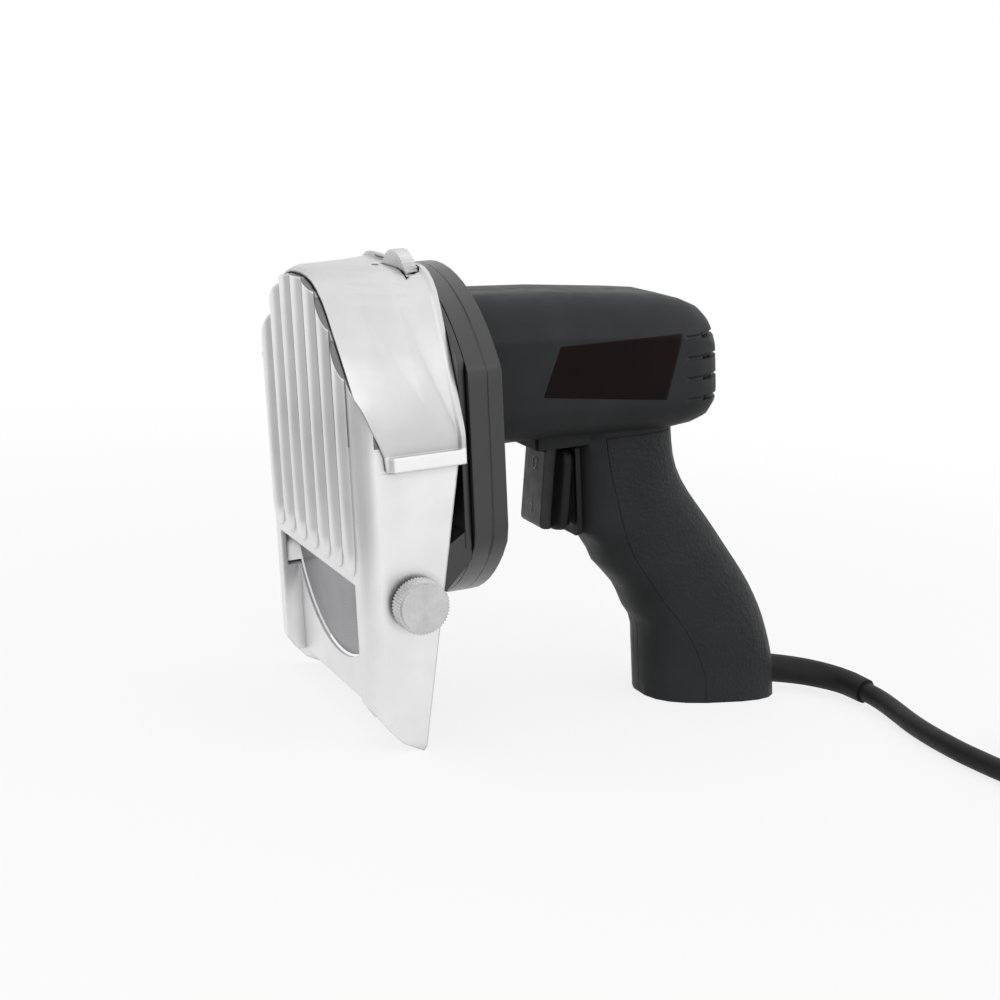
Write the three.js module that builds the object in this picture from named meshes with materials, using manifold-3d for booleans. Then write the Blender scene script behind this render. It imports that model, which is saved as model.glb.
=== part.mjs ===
// Electric kebab slicer in millimetres, +Z up.
// The tool is drawn in its own frame: X to the rear along the motor axis, Y to the operator's right, Z up,
// zero at the centre of the gear case. It is then tipped forward onto its guard and its grip foot.

import * as THREE from 'three';
import { mergeVertices } from 'three/addons/utils/BufferGeometryUtils.js';
import Module from 'manifold-3d';

const wasm = await Module();
wasm.setup();

// Clearances
const SEAT_GAP = 0.3;
const RUN_GAP = 0.12;
const PRESS_GAP = 0.1;
const SLIDE_GAP = 0.6;

// Sides of a plain round piece
const ROUND = 16;

// Gear case: a round ring with flats at both sides and a lowered top
const CASE_RADIUS = 64;
const PLATE_HALF_WIDTH = 51.9;
const CASE_TOP = 54;
const CASE_WALL = 4;
const CASE_BACK = 1;
const CASE_BACK_WALL = 3;
const CASE_DEPTH = 12.1;
const PLATE_THICKNESS = 2.2;
const CASE_SCREW_RADIUS = 2;

// Blade and spindle
const BLADE_RADIUS = 50;
const BLADE_THICKNESS = 1.4;
const BLADE_BEVEL = 4;
const BLADE_DISH = 4;
const BLADE_DISH_RADIUS = 13;
const SPINDLE_RADIUS = 6;
const BOLT_RADIUS = 3.5;
const BOLT_HEAD_RADIUS = 7;
const HUB_LENGTH = 5;
const CLAMP_THICKNESS = 1.5;
const BEARING_RADIUS = 13;
const BEARING_WIDTH = 6;
const SEAL_WIDTH = 2.5;
const NOSE_WALL = 4;

// Guard: one pressed sheet, ribbed panel above, recessed plate below
const SHEET = 1;
const GUARD_CORNER = 7.5;
const GUARD_TRAVEL = 4;
const PANEL_FRONT = -50.4;
const PANEL_LOWER_EDGE = -46;
const RECESS_HALF_WIDTH = 42;
const BLADE_WINDOW_GAP = 0.7;
const RIB_COUNT = 7;
const RIB_PITCH = 13.2;
const RIB_WIDTH = 10.6;
const RIB_HEIGHT = 2.2;
const RIB_END_BAND = 3;
const ARCH_TOP = 54;
const ARCH_SHOULDER = 18;
const ARCH_SIDE = 15;
const WALL_TOP = -6.6;
const WALL_REAR_TOP = -15.6;
const TIP_X = -33.2;
const TIP_Z = -104.5;
const FRONT_EDGE_Z = -87.5;

// Blade cover
const COVER_WALL = 1.4;
const SIDE_BEND = 12;
const ARCH_BEND = 33.3;
const RIM_SIDE = 4;
const RIM_SHOULDER = 34;
const RIM_BEND = 16;
const COVER_BEVEL = 0.9;
const COVER_RIM = 1.5;
const COVER_LOWER_EDGE = -5.9;
const LEDGE_HEIGHT = 5;
const LEDGE_PROUD = 1.7;
const COVER_SCREW_RADIUS = 2;
const COVER_BOSS_Y = 40;
const COVER_BOSS_Z = 20;

// Thickness wheel and its screwed rod
const WHEEL_RADIUS = 14.4;
const WHEEL_WIDTH = 4.6;
const WHEEL_Y = -14.5;
const WHEEL_Z = 47;
const WHEEL_KNURLS = 54;
const ROD_RADIUS = 3;

// Lock knob on the left wall, guide pin on the right wall
const LOCK_X = -33.5;
const LOCK_Z = -51.5;
const KNOB_RADIUS = 9.3;
const KNOB_LENGTH = 8;
const KNOB_KNURLS = 50;
const LOCK_SHANK = 3;
const LOCK_LIFT = 2;
const WASHER_THICKNESS = 0.8;
const LUG_HALF_HEIGHT = 5.5;

// Gear train
const TOOTH_MODULE = 1;
const BACKLASH = 0.36;
const MOTOR_RISE = 15;
const MOTOR_PINION_TEETH = 8;
const FIRST_GEAR_TEETH = 44;
const SECOND_PINION_TEETH = 12;
const SPINDLE_GEAR_TEETH = 52;
const GEAR_WIDTH = 2.9;
const GEAR_ROOM = 1;
const LAYSHAFT_RADIUS = 2.5;
const BUSH_WALL = 2;

// Motor
const ARMATURE_RADIUS = 12;
const ARMATURE_LENGTH = 28;
const ARMATURE_SLOTS = 12;
const AIR_GAP = 0.6;
const STATOR_RADIUS = 20.5;
const COIL_THICKNESS = 3.6;
const MOTOR_SHAFT_RADIUS = 2.4;
const MOTOR_BEARING_RADIUS = 8;
const MOTOR_BEARING_WIDTH = 5;
const COMMUTATOR_RADIUS = 8.5;
const COMMUTATOR_LENGTH = 9;
const FAN_RADIUS = 18.5;
const FAN_WIDTH = 6;
const FAN_BLADES = 9;
const BRUSH_SIDE = 5.2;
const BRUSH_LENGTH = 11;
const HOLDER_WALL = 1;
const STATOR_START = 22;

// Handle
const HANDLE_WALL = 2.6;
const SEAM_GAP = 0.15;
const GRIP_HALF_WIDTH = 18;
const GRIP_FRONT = 47.6;
const FINGER_RIDGES = [-50.5, -65.8, -84, -100];
const SWITCH_STEP = 4.4;
const FINGER_DEPTH = 1.6;
const GRIP_FRONT_FOOT = 75.6;
const CREASE_RISE = 0.42;
const CROWN_HALF_WIDTH = 0.74;
const CREASE_RADIUS = 4;
const BARREL_GROOVES = 4;
const GROOVE_PITCH = 7.6;
const GROOVE_DEPTH = 1.3;
const HANDLE_SCREW_RADIUS = 1.8;
const STANCE = THREE.MathUtils.degToRad(8);
const FOOT_CENTRE_X = 100;

// Switch
const ROCKER_HEIGHT = 30;
const ROCKER_WIDTH = 17;
const ROCKER_THICKNESS = 4.5;
const ROCKER_Z = -32.6;
const ROCKER_FACE_X = 34.4;
const ROCKER_TILT = THREE.MathUtils.degToRad(7);
const ROCKER_PIVOT_X = 42.6;
const PIN_RADIUS = 1.5;
const BOOT_HALF_WIDTH = 12;
const BOOT_PLEATS = 3;
const FLANGE_THICKNESS = 1.8;
const FLANGE_MARGIN = 2.2;

// Cord
const RELIEF_ROOT_RADIUS = 6;
const RELIEF_END_RADIUS = 4.9;
const CORD_RADIUS = 3.8;
const COIL_RADIUS = 42.6;
const COIL_TURNS_WIDE = 2;
const COIL_LAYERS = 3;
const COIL_GAP = 0.6;
const FLOOR_GAP = 0.2;
const PLUG_LENGTH = 34;
const PLUG_HALF_WIDTH = 17;
const PLUG_HEIGHT = 13.6;
const PLUG_PIN_RADIUS = 2.2;
const PLUG_PIN_LENGTH = 19;
const PLUG_PIN_SPACING = 19;
const PLUG_BACK = 10;
const PLUG_INSET = 4.5;

// Derived places
const caseFront = CASE_BACK - CASE_DEPTH;
const plateBack = caseFront - SEAT_GAP;
const plateFront = plateBack - PLATE_THICKNESS;
const coverBack = plateFront - SEAT_GAP;
const guardInner = PLATE_HALF_WIDTH + SLIDE_GAP;
const guardOuter = guardInner + SHEET;
const coverInner = guardOuter + SLIDE_GAP;
const coverOuter = coverInner + COVER_WALL;
const caseHalf = coverOuter - 1;
const panelInner = PANEL_FRONT + SHEET;
const bladeFront = panelInner + GUARD_TRAVEL + 1.8;
const bladeBack = bladeFront + BLADE_THICKNESS;
const plateFace = bladeFront - SEAT_GAP;
const teethRadius = (teeth) => teeth * TOOTH_MODULE / 2;
const spindleGearReach = teethRadius(SPINDLE_GEAR_TEETH) + TOOTH_MODULE;
const axisZ = CASE_WALL + GEAR_ROOM + spindleGearReach - CASE_RADIUS;
const dishBack = bladeBack + BLADE_DISH;
const dishFront = bladeFront + BLADE_DISH;
const hubFront = dishBack + PRESS_GAP;
const hubBack = hubFront + HUB_LENGTH;
const cavityBack = CASE_BACK - CASE_BACK_WALL;
const firstLayerBack = cavityBack - 0.6;
const firstLayerFront = firstLayerBack - GEAR_WIDTH;
const secondLayerBack = firstLayerFront - 0.5;
const secondLayerFront = secondLayerBack - GEAR_WIDTH;
const firstDistance = teethRadius(MOTOR_PINION_TEETH) + teethRadius(FIRST_GEAR_TEETH);
const secondDistance = teethRadius(SECOND_PINION_TEETH) + teethRadius(SPINDLE_GEAR_TEETH);
const axisSpread = MOTOR_RISE - axisZ;
const layAlong = (secondDistance ** 2 - firstDistance ** 2 + axisSpread ** 2) / (2 * axisSpread);
const layZ = axisZ + layAlong;
const layY = Math.sqrt(secondDistance ** 2 - layAlong ** 2);
const floorAt = (x) => TIP_Z - Math.tan(STANCE) * (x - TIP_X);

// Materials, one per mesh
const polished = { color: 0xd7d8da, roughness: 0.22, metalness: 1 };
const steel = { color: 0xb4b6b8, roughness: 0.35, metalness: 1 };
const satinBlade = { color: 0xa9abad, roughness: 0.4, metalness: 1 };
const brass = { color: 0xb8934a, roughness: 0.4, metalness: 1 };
const copper = { color: 0xb06a3c, roughness: 0.45, metalness: 1 };
const lamination = { color: 0x77797c, roughness: 0.55, metalness: 0.8 };
const blackPlastic = { color: 0x1c1c1d, roughness: 0.55, metalness: 0 };
const glossBlack = { color: 0x141415, roughness: 0.25, metalness: 0 };
const rubber = { color: 0x171718, roughness: 0.7, metalness: 0 };
const carbon = { color: 0x2b2b2c, roughness: 0.8, metalness: 0 };
const resin = { color: 0x6a3b22, roughness: 0.6, metalness: 0 };

// Turn a closed three.js geometry into a solid that can be cut and joined
function solid(geometry) {
  const plain = new THREE.BufferGeometry();
  plain.setAttribute('position', geometry.getAttribute('position').clone());
  if (geometry.index) plain.setIndex(geometry.index.clone());
  const merged = mergeVertices(plain, 1e-4);
  const position = merged.getAttribute('position');
  const source = merged.index.array;
  const corner = [new THREE.Vector3(), new THREE.Vector3(), new THREE.Vector3()];
  let triangles = [];
  let volume = 0;
  for (let i = 0; i < source.length; i += 3) {
    const [a, b, c] = [source[i], source[i + 1], source[i + 2]];
    if (a === b || b === c || c === a) continue;
    triangles.push(a, b, c);
    [a, b, c].forEach((vertex, k) => corner[k].fromBufferAttribute(position, vertex));
    volume += corner[0].dot(corner[1].clone().cross(corner[2])) / 6;
  }
  if (volume < 0) triangles = triangles.reverse();
  return new wasm.Manifold(new wasm.Mesh({
    numProp: 3,
    vertProperties: new Float32Array(position.array),
    triVerts: new Uint32Array(triangles),
  }));
}

function meshGeometry(body) {
  const mesh = body.getMesh();
  const geometry = new THREE.BufferGeometry();
  geometry.setAttribute('position', new THREE.BufferAttribute(new Float32Array(mesh.vertProperties), 3));
  geometry.setIndex(Array.from(mesh.triVerts));
  return geometry;
}

const union = (bodies) => bodies.reduce((sum, body) => sum.add(body));
const cutAll = (body, tools) => tools.reduce((rest, tool) => rest.subtract(tool), body);

function box(x, y, z) {
  const geometry = new THREE.BoxGeometry(x[1] - x[0], y[1] - y[0], z[1] - z[0]);
  geometry.translate((x[0] + x[1]) / 2, (y[0] + y[1]) / 2, (z[0] + z[1]) / 2);
  return solid(geometry);
}

// Prism of a plane outline: 'yz' runs along X, 'xz' along Y, 'xy' along Z
const planes = {
  yz: new THREE.Matrix4().makeBasis(
    new THREE.Vector3(0, 1, 0), new THREE.Vector3(0, 0, 1), new THREE.Vector3(1, 0, 0)),
  xz: new THREE.Matrix4().makeBasis(
    new THREE.Vector3(1, 0, 0), new THREE.Vector3(0, 0, 1), new THREE.Vector3(0, -1, 0)),
  xy: new THREE.Matrix4(),
};

function prism(plane, outline, from, to) {
  const shape = new THREE.Shape(outline.map(([u, v]) => new THREE.Vector2(u, v)));
  const geometry = new THREE.ExtrudeGeometry(shape, { depth: to - from, bevelEnabled: false });
  geometry.translate(0, 0, plane === 'xz' ? -to : from);
  geometry.applyMatrix4(planes[plane]);
  return solid(geometry);
}

// Round outline of a circle; a hole is drawn outside its circle so that its flats keep the gap
function circle(u, v, radius, count = ROUND, turn = 0) {
  return Array.from({ length: count }, (_, i) => {
    const angle = turn + 2 * Math.PI * i / count;
    return [u + radius * Math.cos(angle), v + radius * Math.sin(angle)];
  });
}

const holeRadius = (radius, gap, count = ROUND) => (radius + gap) / Math.cos(Math.PI / count);
const rodX = (from, to, y, z, radius, count = ROUND) => prism('yz', circle(y, z, radius, count), from, to);
const rodY = (from, to, x, z, radius, count = ROUND) => prism('xz', circle(x, z, radius, count), from, to);
const holeX = (from, to, y, z, radius, gap, count = ROUND) =>
  rodX(from, to, y, z, holeRadius(radius, gap, count), count);

// Turned body about an axis along X through (y, z); profile of [x, radius] pairs
function turned(profile, y, z, count = ROUND) {
  const geometry = new THREE.LatheGeometry(profile.map(([x, radius]) => new THREE.Vector2(radius, x)), count);
  geometry.rotateZ(-Math.PI / 2);
  geometry.translate(0, y, z);
  return solid(geometry);
}

function tube(from, to, y, z, outer, inner, count = ROUND) {
  return rodX(from, to, y, z, outer, count).subtract(rodX(from - 1, to + 1, y, z, inner, count));
}

// Outline with rounded corners; each corner is [u, v, radius] and gives the same number of points
function rounded(corners, steps = 4) {
  const points = [];
  corners.forEach(([u, v, radius], i) => {
    const here = new THREE.Vector2(u, v);
    const before = new THREE.Vector2(...corners.at(i - 1)).sub(here).normalize();
    const after = new THREE.Vector2(...corners[(i + 1) % corners.length]).sub(here).normalize();
    const half = Math.acos(THREE.MathUtils.clamp(before.dot(after), -1, 1)) / 2;
    const middle = before.clone().add(after).normalize().multiplyScalar(radius / Math.sin(half)).add(here);
    const start = before.multiplyScalar(radius / Math.tan(half)).add(here).sub(middle);
    const sweep = Math.sign(start.cross(after.multiplyScalar(radius / Math.tan(half)).add(here).sub(middle)));
    for (let k = 0; k <= steps; k += 1) {
      const angle = sweep * (Math.PI - 2 * half) * k / steps;
      const spoke = start.clone().rotateAround(new THREE.Vector2(), angle).add(middle);
      points.push([spoke.x, spoke.y]);
    }
  });
  return points;
}

// Closed body through a row of equal-length loops, capped by fans
function loft(loops) {
  const count = loops[0].length;
  const vertices = loops.flat();
  const triangles = [];
  loops.slice(1).forEach((_, row) => {
    for (let i = 0; i < count; i += 1) {
      const next = (i + 1) % count;
      const [a, b] = [row * count + i, row * count + next];
      triangles.push(a, b, b + count, a, b + count, a + count);
    }
  });
  [loops[0], loops.at(-1)].forEach((loop, end) => {
    const middle = loop.reduce((sum, point) => sum.add(point), new THREE.Vector3()).divideScalar(count);
    vertices.push(middle);
    const base = end * (loops.length - 1) * count;
    for (let i = 0; i < count; i += 1) {
      const pair = [base + i, base + (i + 1) % count];
      triangles.push(vertices.length - 1, ...(end ? pair : pair.reverse()));
    }
  });
  const geometry = new THREE.BufferGeometry().setFromPoints(vertices);
  geometry.setIndex(triangles);
  return solid(geometry);
}

// Smooth value through [position, value] pairs
function through(pairs, at) {
  const clamped = THREE.MathUtils.clamp(at, pairs[0][0], pairs.at(-1)[0]);
  const i = Math.min(pairs.length - 2, pairs.findLastIndex(([position]) => position <= clamped));
  const slope = (k) => {
    const [low, high] = [Math.max(0, k - 1), Math.min(pairs.length - 1, k + 1)];
    return (pairs[high][1] - pairs[low][1]) / (pairs[high][0] - pairs[low][0]);
  };
  const span = pairs[i + 1][0] - pairs[i][0];
  const t = (clamped - pairs[i][0]) / span;
  const rise = pairs[i + 1][1] - pairs[i][1];
  const bend = t * (1 - t) * ((1 - t) * (slope(i) * span - rise) - t * (slope(i + 1) * span - rise));
  return pairs[i][1] + rise * t + bend;
}

const tool = new THREE.Group();
tool.name = 'tool';
const ground = new THREE.Group();
ground.name = 'on_the_table';

function add(name, body, material, parent = tool) {
  const mesh = new THREE.Mesh(meshGeometry(body), new THREE.MeshStandardMaterial(material));
  mesh.name = name;
  parent.add(mesh);
}

// Gear case
const caseOutline = (half, inset, count) => circle(0, 0, CASE_RADIUS - inset, count).map(([y, z]) => [
  THREE.MathUtils.clamp(y, inset - half, half - inset),
  z,
]).map(([y, z]) => [y, Math.min(z, CASE_TOP - CASE_RADIUS + Math.sqrt((CASE_RADIUS - inset) ** 2 - y ** 2))]);
const caseScrewPlaces = [-135, -45, 90].map((degrees) => {
  const angle = THREE.MathUtils.degToRad(degrees);
  const reach = Math.min(CASE_RADIUS, degrees === 90 ? CASE_TOP : CASE_RADIUS) - CASE_WALL - 2.2;
  return [reach * Math.cos(angle), reach * Math.sin(angle)];
});
const motorBossEnd = CASE_BACK + MOTOR_BEARING_WIDTH + 1;
const motorBearingFront = CASE_BACK + 0.5;
let gearCase = prism('yz', caseOutline(caseHalf, 0, 64), caseFront, CASE_BACK);
gearCase = gearCase.subtract(prism('yz', caseOutline(caseHalf, CASE_WALL, 32), caseFront - 1, cavityBack));
gearCase = gearCase.add(rodX(cavityBack, motorBossEnd, 0, MOTOR_RISE, MOTOR_BEARING_RADIUS + 3, 32));
caseScrewPlaces.forEach(([y, z]) => {
  gearCase = gearCase.add(rodX(caseFront, cavityBack + 0.5, y, z, CASE_SCREW_RADIUS + 2.4, 8));
});
gearCase = cutAll(gearCase, [
  holeX(motorBearingFront, motorBossEnd + 1, 0, MOTOR_RISE, MOTOR_BEARING_RADIUS, PRESS_GAP, 32),
  rodX(cavityBack - 1, motorBossEnd, 0, MOTOR_RISE, MOTOR_SHAFT_RADIUS + 2),
  holeX(cavityBack - 1, CASE_BACK - 1, layY, layZ, LAYSHAFT_RADIUS + BUSH_WALL, PRESS_GAP),
  ...caseScrewPlaces.map(([y, z]) =>
    holeX(caseFront - 1, CASE_BACK + 1, y, z, CASE_SCREW_RADIUS, SEAT_GAP, 8)),
]);
add('gear_case', gearCase, blackPlastic);

// Front plate with the spindle nose and the two side lugs
const noseRadius = BEARING_RADIUS + NOSE_WALL;
const bearingBack = plateBack - 0.4;
const sealBack = hubBack + 0.8;
const sealFront = sealBack;
const noseFront = sealFront + 0.2;
const lugOuter = guardInner - SLIDE_GAP - 0.5;
const lugFront = LOCK_X - LOCK_SHANK - 2.5;
let casePlate = prism('yz', caseOutline(PLATE_HALF_WIDTH, 0, 64), plateFront, plateBack);
casePlate = casePlate.add(turned(
  [[plateFront + 0.5, 0], [plateFront + 0.5, noseRadius + 3], [plateFront - 2, noseRadius],
    [noseFront, noseRadius],
    [noseFront, 0]], 0, axisZ, 24));
[-1, 1].forEach((side) => {
  const reach = [side * lugOuter, side * (lugOuter - 15)].sort((a, b) => a - b);
  const lug = [[plateBack, LOCK_Z + 4 * LUG_HALF_HEIGHT], [lugFront, LOCK_Z + LUG_HALF_HEIGHT],
    [lugFront, LOCK_Z - LUG_HALF_HEIGHT], [LOCK_X + LUG_HALF_HEIGHT, LOCK_Z - LUG_HALF_HEIGHT],
    [plateBack, LOCK_Z + 2 * LUG_HALF_HEIGHT]];
  casePlate = casePlate.add(prism('xz', lug, reach[0], reach[1]));
  const hole = [side * (lugOuter + 1), side * (lugOuter - 16)].sort((a, b) => a - b);
  casePlate = casePlate.subtract(rodY(hole[0], hole[1], LOCK_X, LOCK_Z, holeRadius(LOCK_SHANK, RUN_GAP)));
});
casePlate = cutAll(casePlate, [
  holeX(noseFront + SEAL_WIDTH, plateBack + 1, 0, axisZ, BEARING_RADIUS, PRESS_GAP, 32),
  holeX(noseFront - 1, noseFront + SEAL_WIDTH + 1, 0, axisZ, SPINDLE_RADIUS + 4, PRESS_GAP, 32),
  holeX(plateFront - 1, plateBack + 1, WHEEL_Y, WHEEL_Z, ROD_RADIUS, SLIDE_GAP),
  ...[-1, 1].map((side) => holeX(plateFront - 1, plateBack + 1, side * COVER_BOSS_Y, COVER_BOSS_Z,
    COVER_SCREW_RADIUS, SEAT_GAP, 8)),
  ...caseScrewPlaces.map(([y, z]) =>
    holeX(plateFront - 1, plateBack + 1, y, z, CASE_SCREW_RADIUS, SEAT_GAP, 8)),
]);
add('gear_case_plate', casePlate, blackPlastic);
caseScrewPlaces.forEach(([y, z], i) => {
  const screw = rodX(plateFront + 0.2, CASE_BACK + SEAT_GAP + 1, y, z, CASE_SCREW_RADIUS, 8)
    .add(rodX(CASE_BACK + SEAT_GAP, CASE_BACK + SEAT_GAP + 2, y, z, CASE_SCREW_RADIUS + 1.6, 8));
  add(`case_screw_${i + 1}`, screw, steel);
});

// Spindle group
const spindleBack = secondLayerBack + 0.2;
const boltEnd = hubFront + 12;
const spindle = rodX(hubFront + 0.5, spindleBack, 0, axisZ, SPINDLE_RADIUS)
  .subtract(holeX(hubFront - 1, boltEnd + 0.5, 0, axisZ, BOLT_RADIUS, PRESS_GAP));
add('spindle_shaft', spindle, steel);
const hubRadius = BLADE_DISH_RADIUS - 1;
const hub = turned([[hubFront, 0], [hubFront, hubRadius], [hubFront + 2.2, hubRadius],
  [hubFront + 3, SPINDLE_RADIUS + 3],
  [hubBack, SPINDLE_RADIUS + 3], [hubBack, 0]], 0, axisZ, 24)
  .subtract(holeX(hubFront + 0.2, hubBack + 1, 0, axisZ, SPINDLE_RADIUS, PRESS_GAP))
  .subtract(holeX(hubFront - 1, hubFront + 1, 0, axisZ, BOLT_RADIUS, PRESS_GAP));
add('blade_hub', hub, steel);
const boltHole = holeRadius(BOLT_RADIUS, PRESS_GAP);
const blade = turned([[dishBack, boltHole], [dishFront, boltHole], [dishFront, BLADE_DISH_RADIUS],
  [bladeFront, BLADE_DISH_RADIUS + BLADE_DISH], [bladeFront, BLADE_RADIUS - BLADE_BEVEL],
  [bladeBack - 0.2, BLADE_RADIUS], [bladeBack, BLADE_RADIUS],
    [bladeBack, BLADE_DISH_RADIUS + BLADE_DISH + 0.6],
  [dishBack, BLADE_DISH_RADIUS + 0.6], [dishBack, boltHole]], 0, axisZ, 60);
add('blade', blade, satinBlade);
const clampFront = dishFront - PRESS_GAP - CLAMP_THICKNESS;
add('blade_clamp_washer', tube(clampFront, dishFront - PRESS_GAP, 0, axisZ, BOLT_HEAD_RADIUS + 4, boltHole,
  24), steel);
const headBack = clampFront - PRESS_GAP;
const bolt = rodX(headBack - 1.6, headBack, 0, axisZ, BOLT_HEAD_RADIUS, 6)
  .add(rodX(headBack - 0.2, boltEnd, 0, axisZ, BOLT_RADIUS));
add('blade_bolt', bolt, steel);
const bearingBore = holeRadius(SPINDLE_RADIUS, RUN_GAP);
[['spindle_bearing_rear', bearingBack],
  ['spindle_bearing_front', noseFront + SEAL_WIDTH + 0.3 + BEARING_WIDTH]]
  .forEach(([name, back]) => {
    add(name, tube(back - BEARING_WIDTH, back, 0, axisZ, BEARING_RADIUS, bearingBore), steel);
  });
add('spindle_seal', tube(noseFront + 0.1, noseFront + SEAL_WIDTH - 0.1, 0, axisZ, SPINDLE_RADIUS + 4,
  bearingBore), rubber);

// Gears
function gearOutline(teeth, y, z, turn) {
  const pitch = teethRadius(teeth);
  const half = Math.PI / (2 * teeth) - BACKLASH / (4 * pitch) * 2;
  const flank = [[pitch - 1.2 * TOOTH_MODULE, -1.5], [pitch + 0.8 * TOOTH_MODULE, -0.55],
    [pitch + 0.8 * TOOTH_MODULE, 0.55], [pitch - 1.2 * TOOTH_MODULE, 1.5]];
  return Array.from({ length: teeth }, (_, i) => flank.map(([radius, share]) => {
    const angle = turn + 2 * Math.PI * i / teeth + share * half;
    return [y + radius * Math.cos(angle), z + radius * Math.sin(angle)];
  })).flat();
}

function gear(teeth, y, z, turn, from, to, shaft) {
  const bore = holeX(from - 1, to + 1, y, z, shaft, PRESS_GAP);
  return prism('yz', gearOutline(teeth, y, z, turn), from, to).subtract(bore);
}

const toLay = Math.atan2(layZ - MOTOR_RISE, layY);
const toSpindle = Math.atan2(axisZ - layZ, -layY);
const halfTooth = (teeth) => Math.PI / teeth;
add('spindle_gear', gear(SPINDLE_GEAR_TEETH, 0, axisZ, toSpindle + Math.PI + halfTooth(SPINDLE_GEAR_TEETH),
  secondLayerFront, secondLayerBack, SPINDLE_RADIUS), steel);
add('intermediate_gear', gear(FIRST_GEAR_TEETH, layY, layZ, toLay + Math.PI + halfTooth(FIRST_GEAR_TEETH),
  firstLayerFront, firstLayerBack, LAYSHAFT_RADIUS), steel);
add('intermediate_pinion', gear(SECOND_PINION_TEETH, layY, layZ, toSpindle, secondLayerFront, secondLayerBack,
  LAYSHAFT_RADIUS), steel);
add('motor_pinion', gear(MOTOR_PINION_TEETH, 0, MOTOR_RISE, toLay, firstLayerFront, firstLayerBack,
  MOTOR_SHAFT_RADIUS), steel);
const bushBack = CASE_BACK - 1 - PRESS_GAP;
add('intermediate_shaft', rodX(plateBack + 0.2, bushBack - 0.3, layY, layZ, LAYSHAFT_RADIUS), steel);
const bushBore = holeRadius(LAYSHAFT_RADIUS, RUN_GAP);
add('intermediate_bush', tube(cavityBack - 0.4, bushBack, layY, layZ, LAYSHAFT_RADIUS + BUSH_WALL,
  bushBore), brass);

// Motor, all about the line y = 0, z = MOTOR_RISE
const armatureFront = STATOR_START + 1;
const armatureBack = armatureFront + ARMATURE_LENGTH;
const statorBack = STATOR_START + ARMATURE_LENGTH + 2;
const windingReach = 5;
const commutatorFront = armatureBack + windingReach + 2;
const commutatorBack = commutatorFront + COMMUTATOR_LENGTH;
const rearBearingFront = commutatorBack + 4;
const rearBearingBack = rearBearingFront + MOTOR_BEARING_WIDTH;
const shaftHole = holeRadius(MOTOR_SHAFT_RADIUS, PRESS_GAP);
const shaftFit = (from, to, radius, count = ROUND) => tube(from, to, 0, MOTOR_RISE, radius, shaftHole, count);
add('armature_shaft', rodX(firstLayerFront - 0.2, rearBearingBack, 0, MOTOR_RISE, MOTOR_SHAFT_RADIUS), steel);
let core = shaftFit(armatureFront, armatureBack, ARMATURE_RADIUS, 36);
for (let i = 0; i < ARMATURE_SLOTS; i += 1) {
  const angle = 2 * Math.PI * (i + 0.5) / ARMATURE_SLOTS;
  const slot = circle(0, 0, 1.3, 6).map(([u, v]) => [u + ARMATURE_RADIUS - 1.5, v]);
  const outline = slot.map(([u, v]) => [u * Math.cos(angle) - v * Math.sin(angle),
    MOTOR_RISE + u * Math.sin(angle) + v * Math.cos(angle)]);
  core = core.subtract(prism('yz', outline, armatureFront - 1, armatureBack + 1));
}
add('armature_core', core, lamination);
[['winding_front', armatureFront - PRESS_GAP, -1], ['winding_rear', armatureBack + PRESS_GAP, 1]]
  .forEach(([name, face, way]) => {
    const winding = turned([[face, shaftHole], [face, ARMATURE_RADIUS - 1.5],
      [face + way * 3, ARMATURE_RADIUS - 2],
      [face + way * windingReach, ARMATURE_RADIUS - 5], [face + way * windingReach, shaftHole],
        [face, shaftHole]],
    0, MOTOR_RISE);
    add(name, winding, copper);
  });
add('commutator', shaftFit(commutatorFront, commutatorBack, COMMUTATOR_RADIUS, 36), copper);
const fanFront = motorBossEnd + 1.5;
let fan = shaftFit(fanFront, fanFront + 1.5, FAN_RADIUS, 36).add(shaftFit(fanFront, fanFront + FAN_WIDTH, 5));
for (let i = 0; i < FAN_BLADES; i += 1) {
  const geometry = new THREE.BoxGeometry(FAN_WIDTH - 1, FAN_RADIUS - 5, 1.2);
  geometry.translate(fanFront + FAN_WIDTH / 2 + 0.5, (FAN_RADIUS + 3.6) / 2, 0);
  geometry.rotateX(2 * Math.PI * i / FAN_BLADES);
  geometry.translate(0, 0, MOTOR_RISE);
  fan = fan.add(solid(geometry));
}
add('cooling_fan', fan, blackPlastic);
const motorBore = holeRadius(MOTOR_SHAFT_RADIUS, RUN_GAP);
[['motor_bearing_front', motorBearingFront + 0.2],
  ['motor_bearing_rear', rearBearingFront]].forEach(([name, from]) => {
  add(name, tube(from, from + MOTOR_BEARING_WIDTH, 0, MOTOR_RISE, MOTOR_BEARING_RADIUS, motorBore), steel);
});
const statorBore = ARMATURE_RADIUS + AIR_GAP;
function sector(inner, outer, middle, halfAngle, steps = 10) {
  const arc = (radius, k) => {
    const angle = middle - halfAngle + 2 * halfAngle * k / steps;
    return [radius * Math.cos(angle), MOTOR_RISE + radius * Math.sin(angle)];
  };
  const row = Array.from({ length: steps + 1 }, (_, k) => k);
  return [...row.map((k) => arc(outer, k)), ...row.reverse().map((k) => arc(inner, k))];
}
let stator = tube(STATOR_START, statorBack, 0, MOTOR_RISE, STATOR_RADIUS, statorBore, 36);
[0, Math.PI].forEach((side, i) => {
  const window = sector(statorBore - 1, statorBore + COIL_THICKNESS + 2 * SEAT_GAP, side, 0.95);
  stator = stator.subtract(prism('yz', window, STATOR_START - 1, statorBack + 1));
  const coil = sector(statorBore + SEAT_GAP, statorBore + COIL_THICKNESS + SEAT_GAP, side, 0.9);
  add(`field_coil_${i + 1}`, prism('yz', coil, STATOR_START - 3, statorBack + 3), copper);
});
add('stator_core', stator, lamination);

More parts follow.
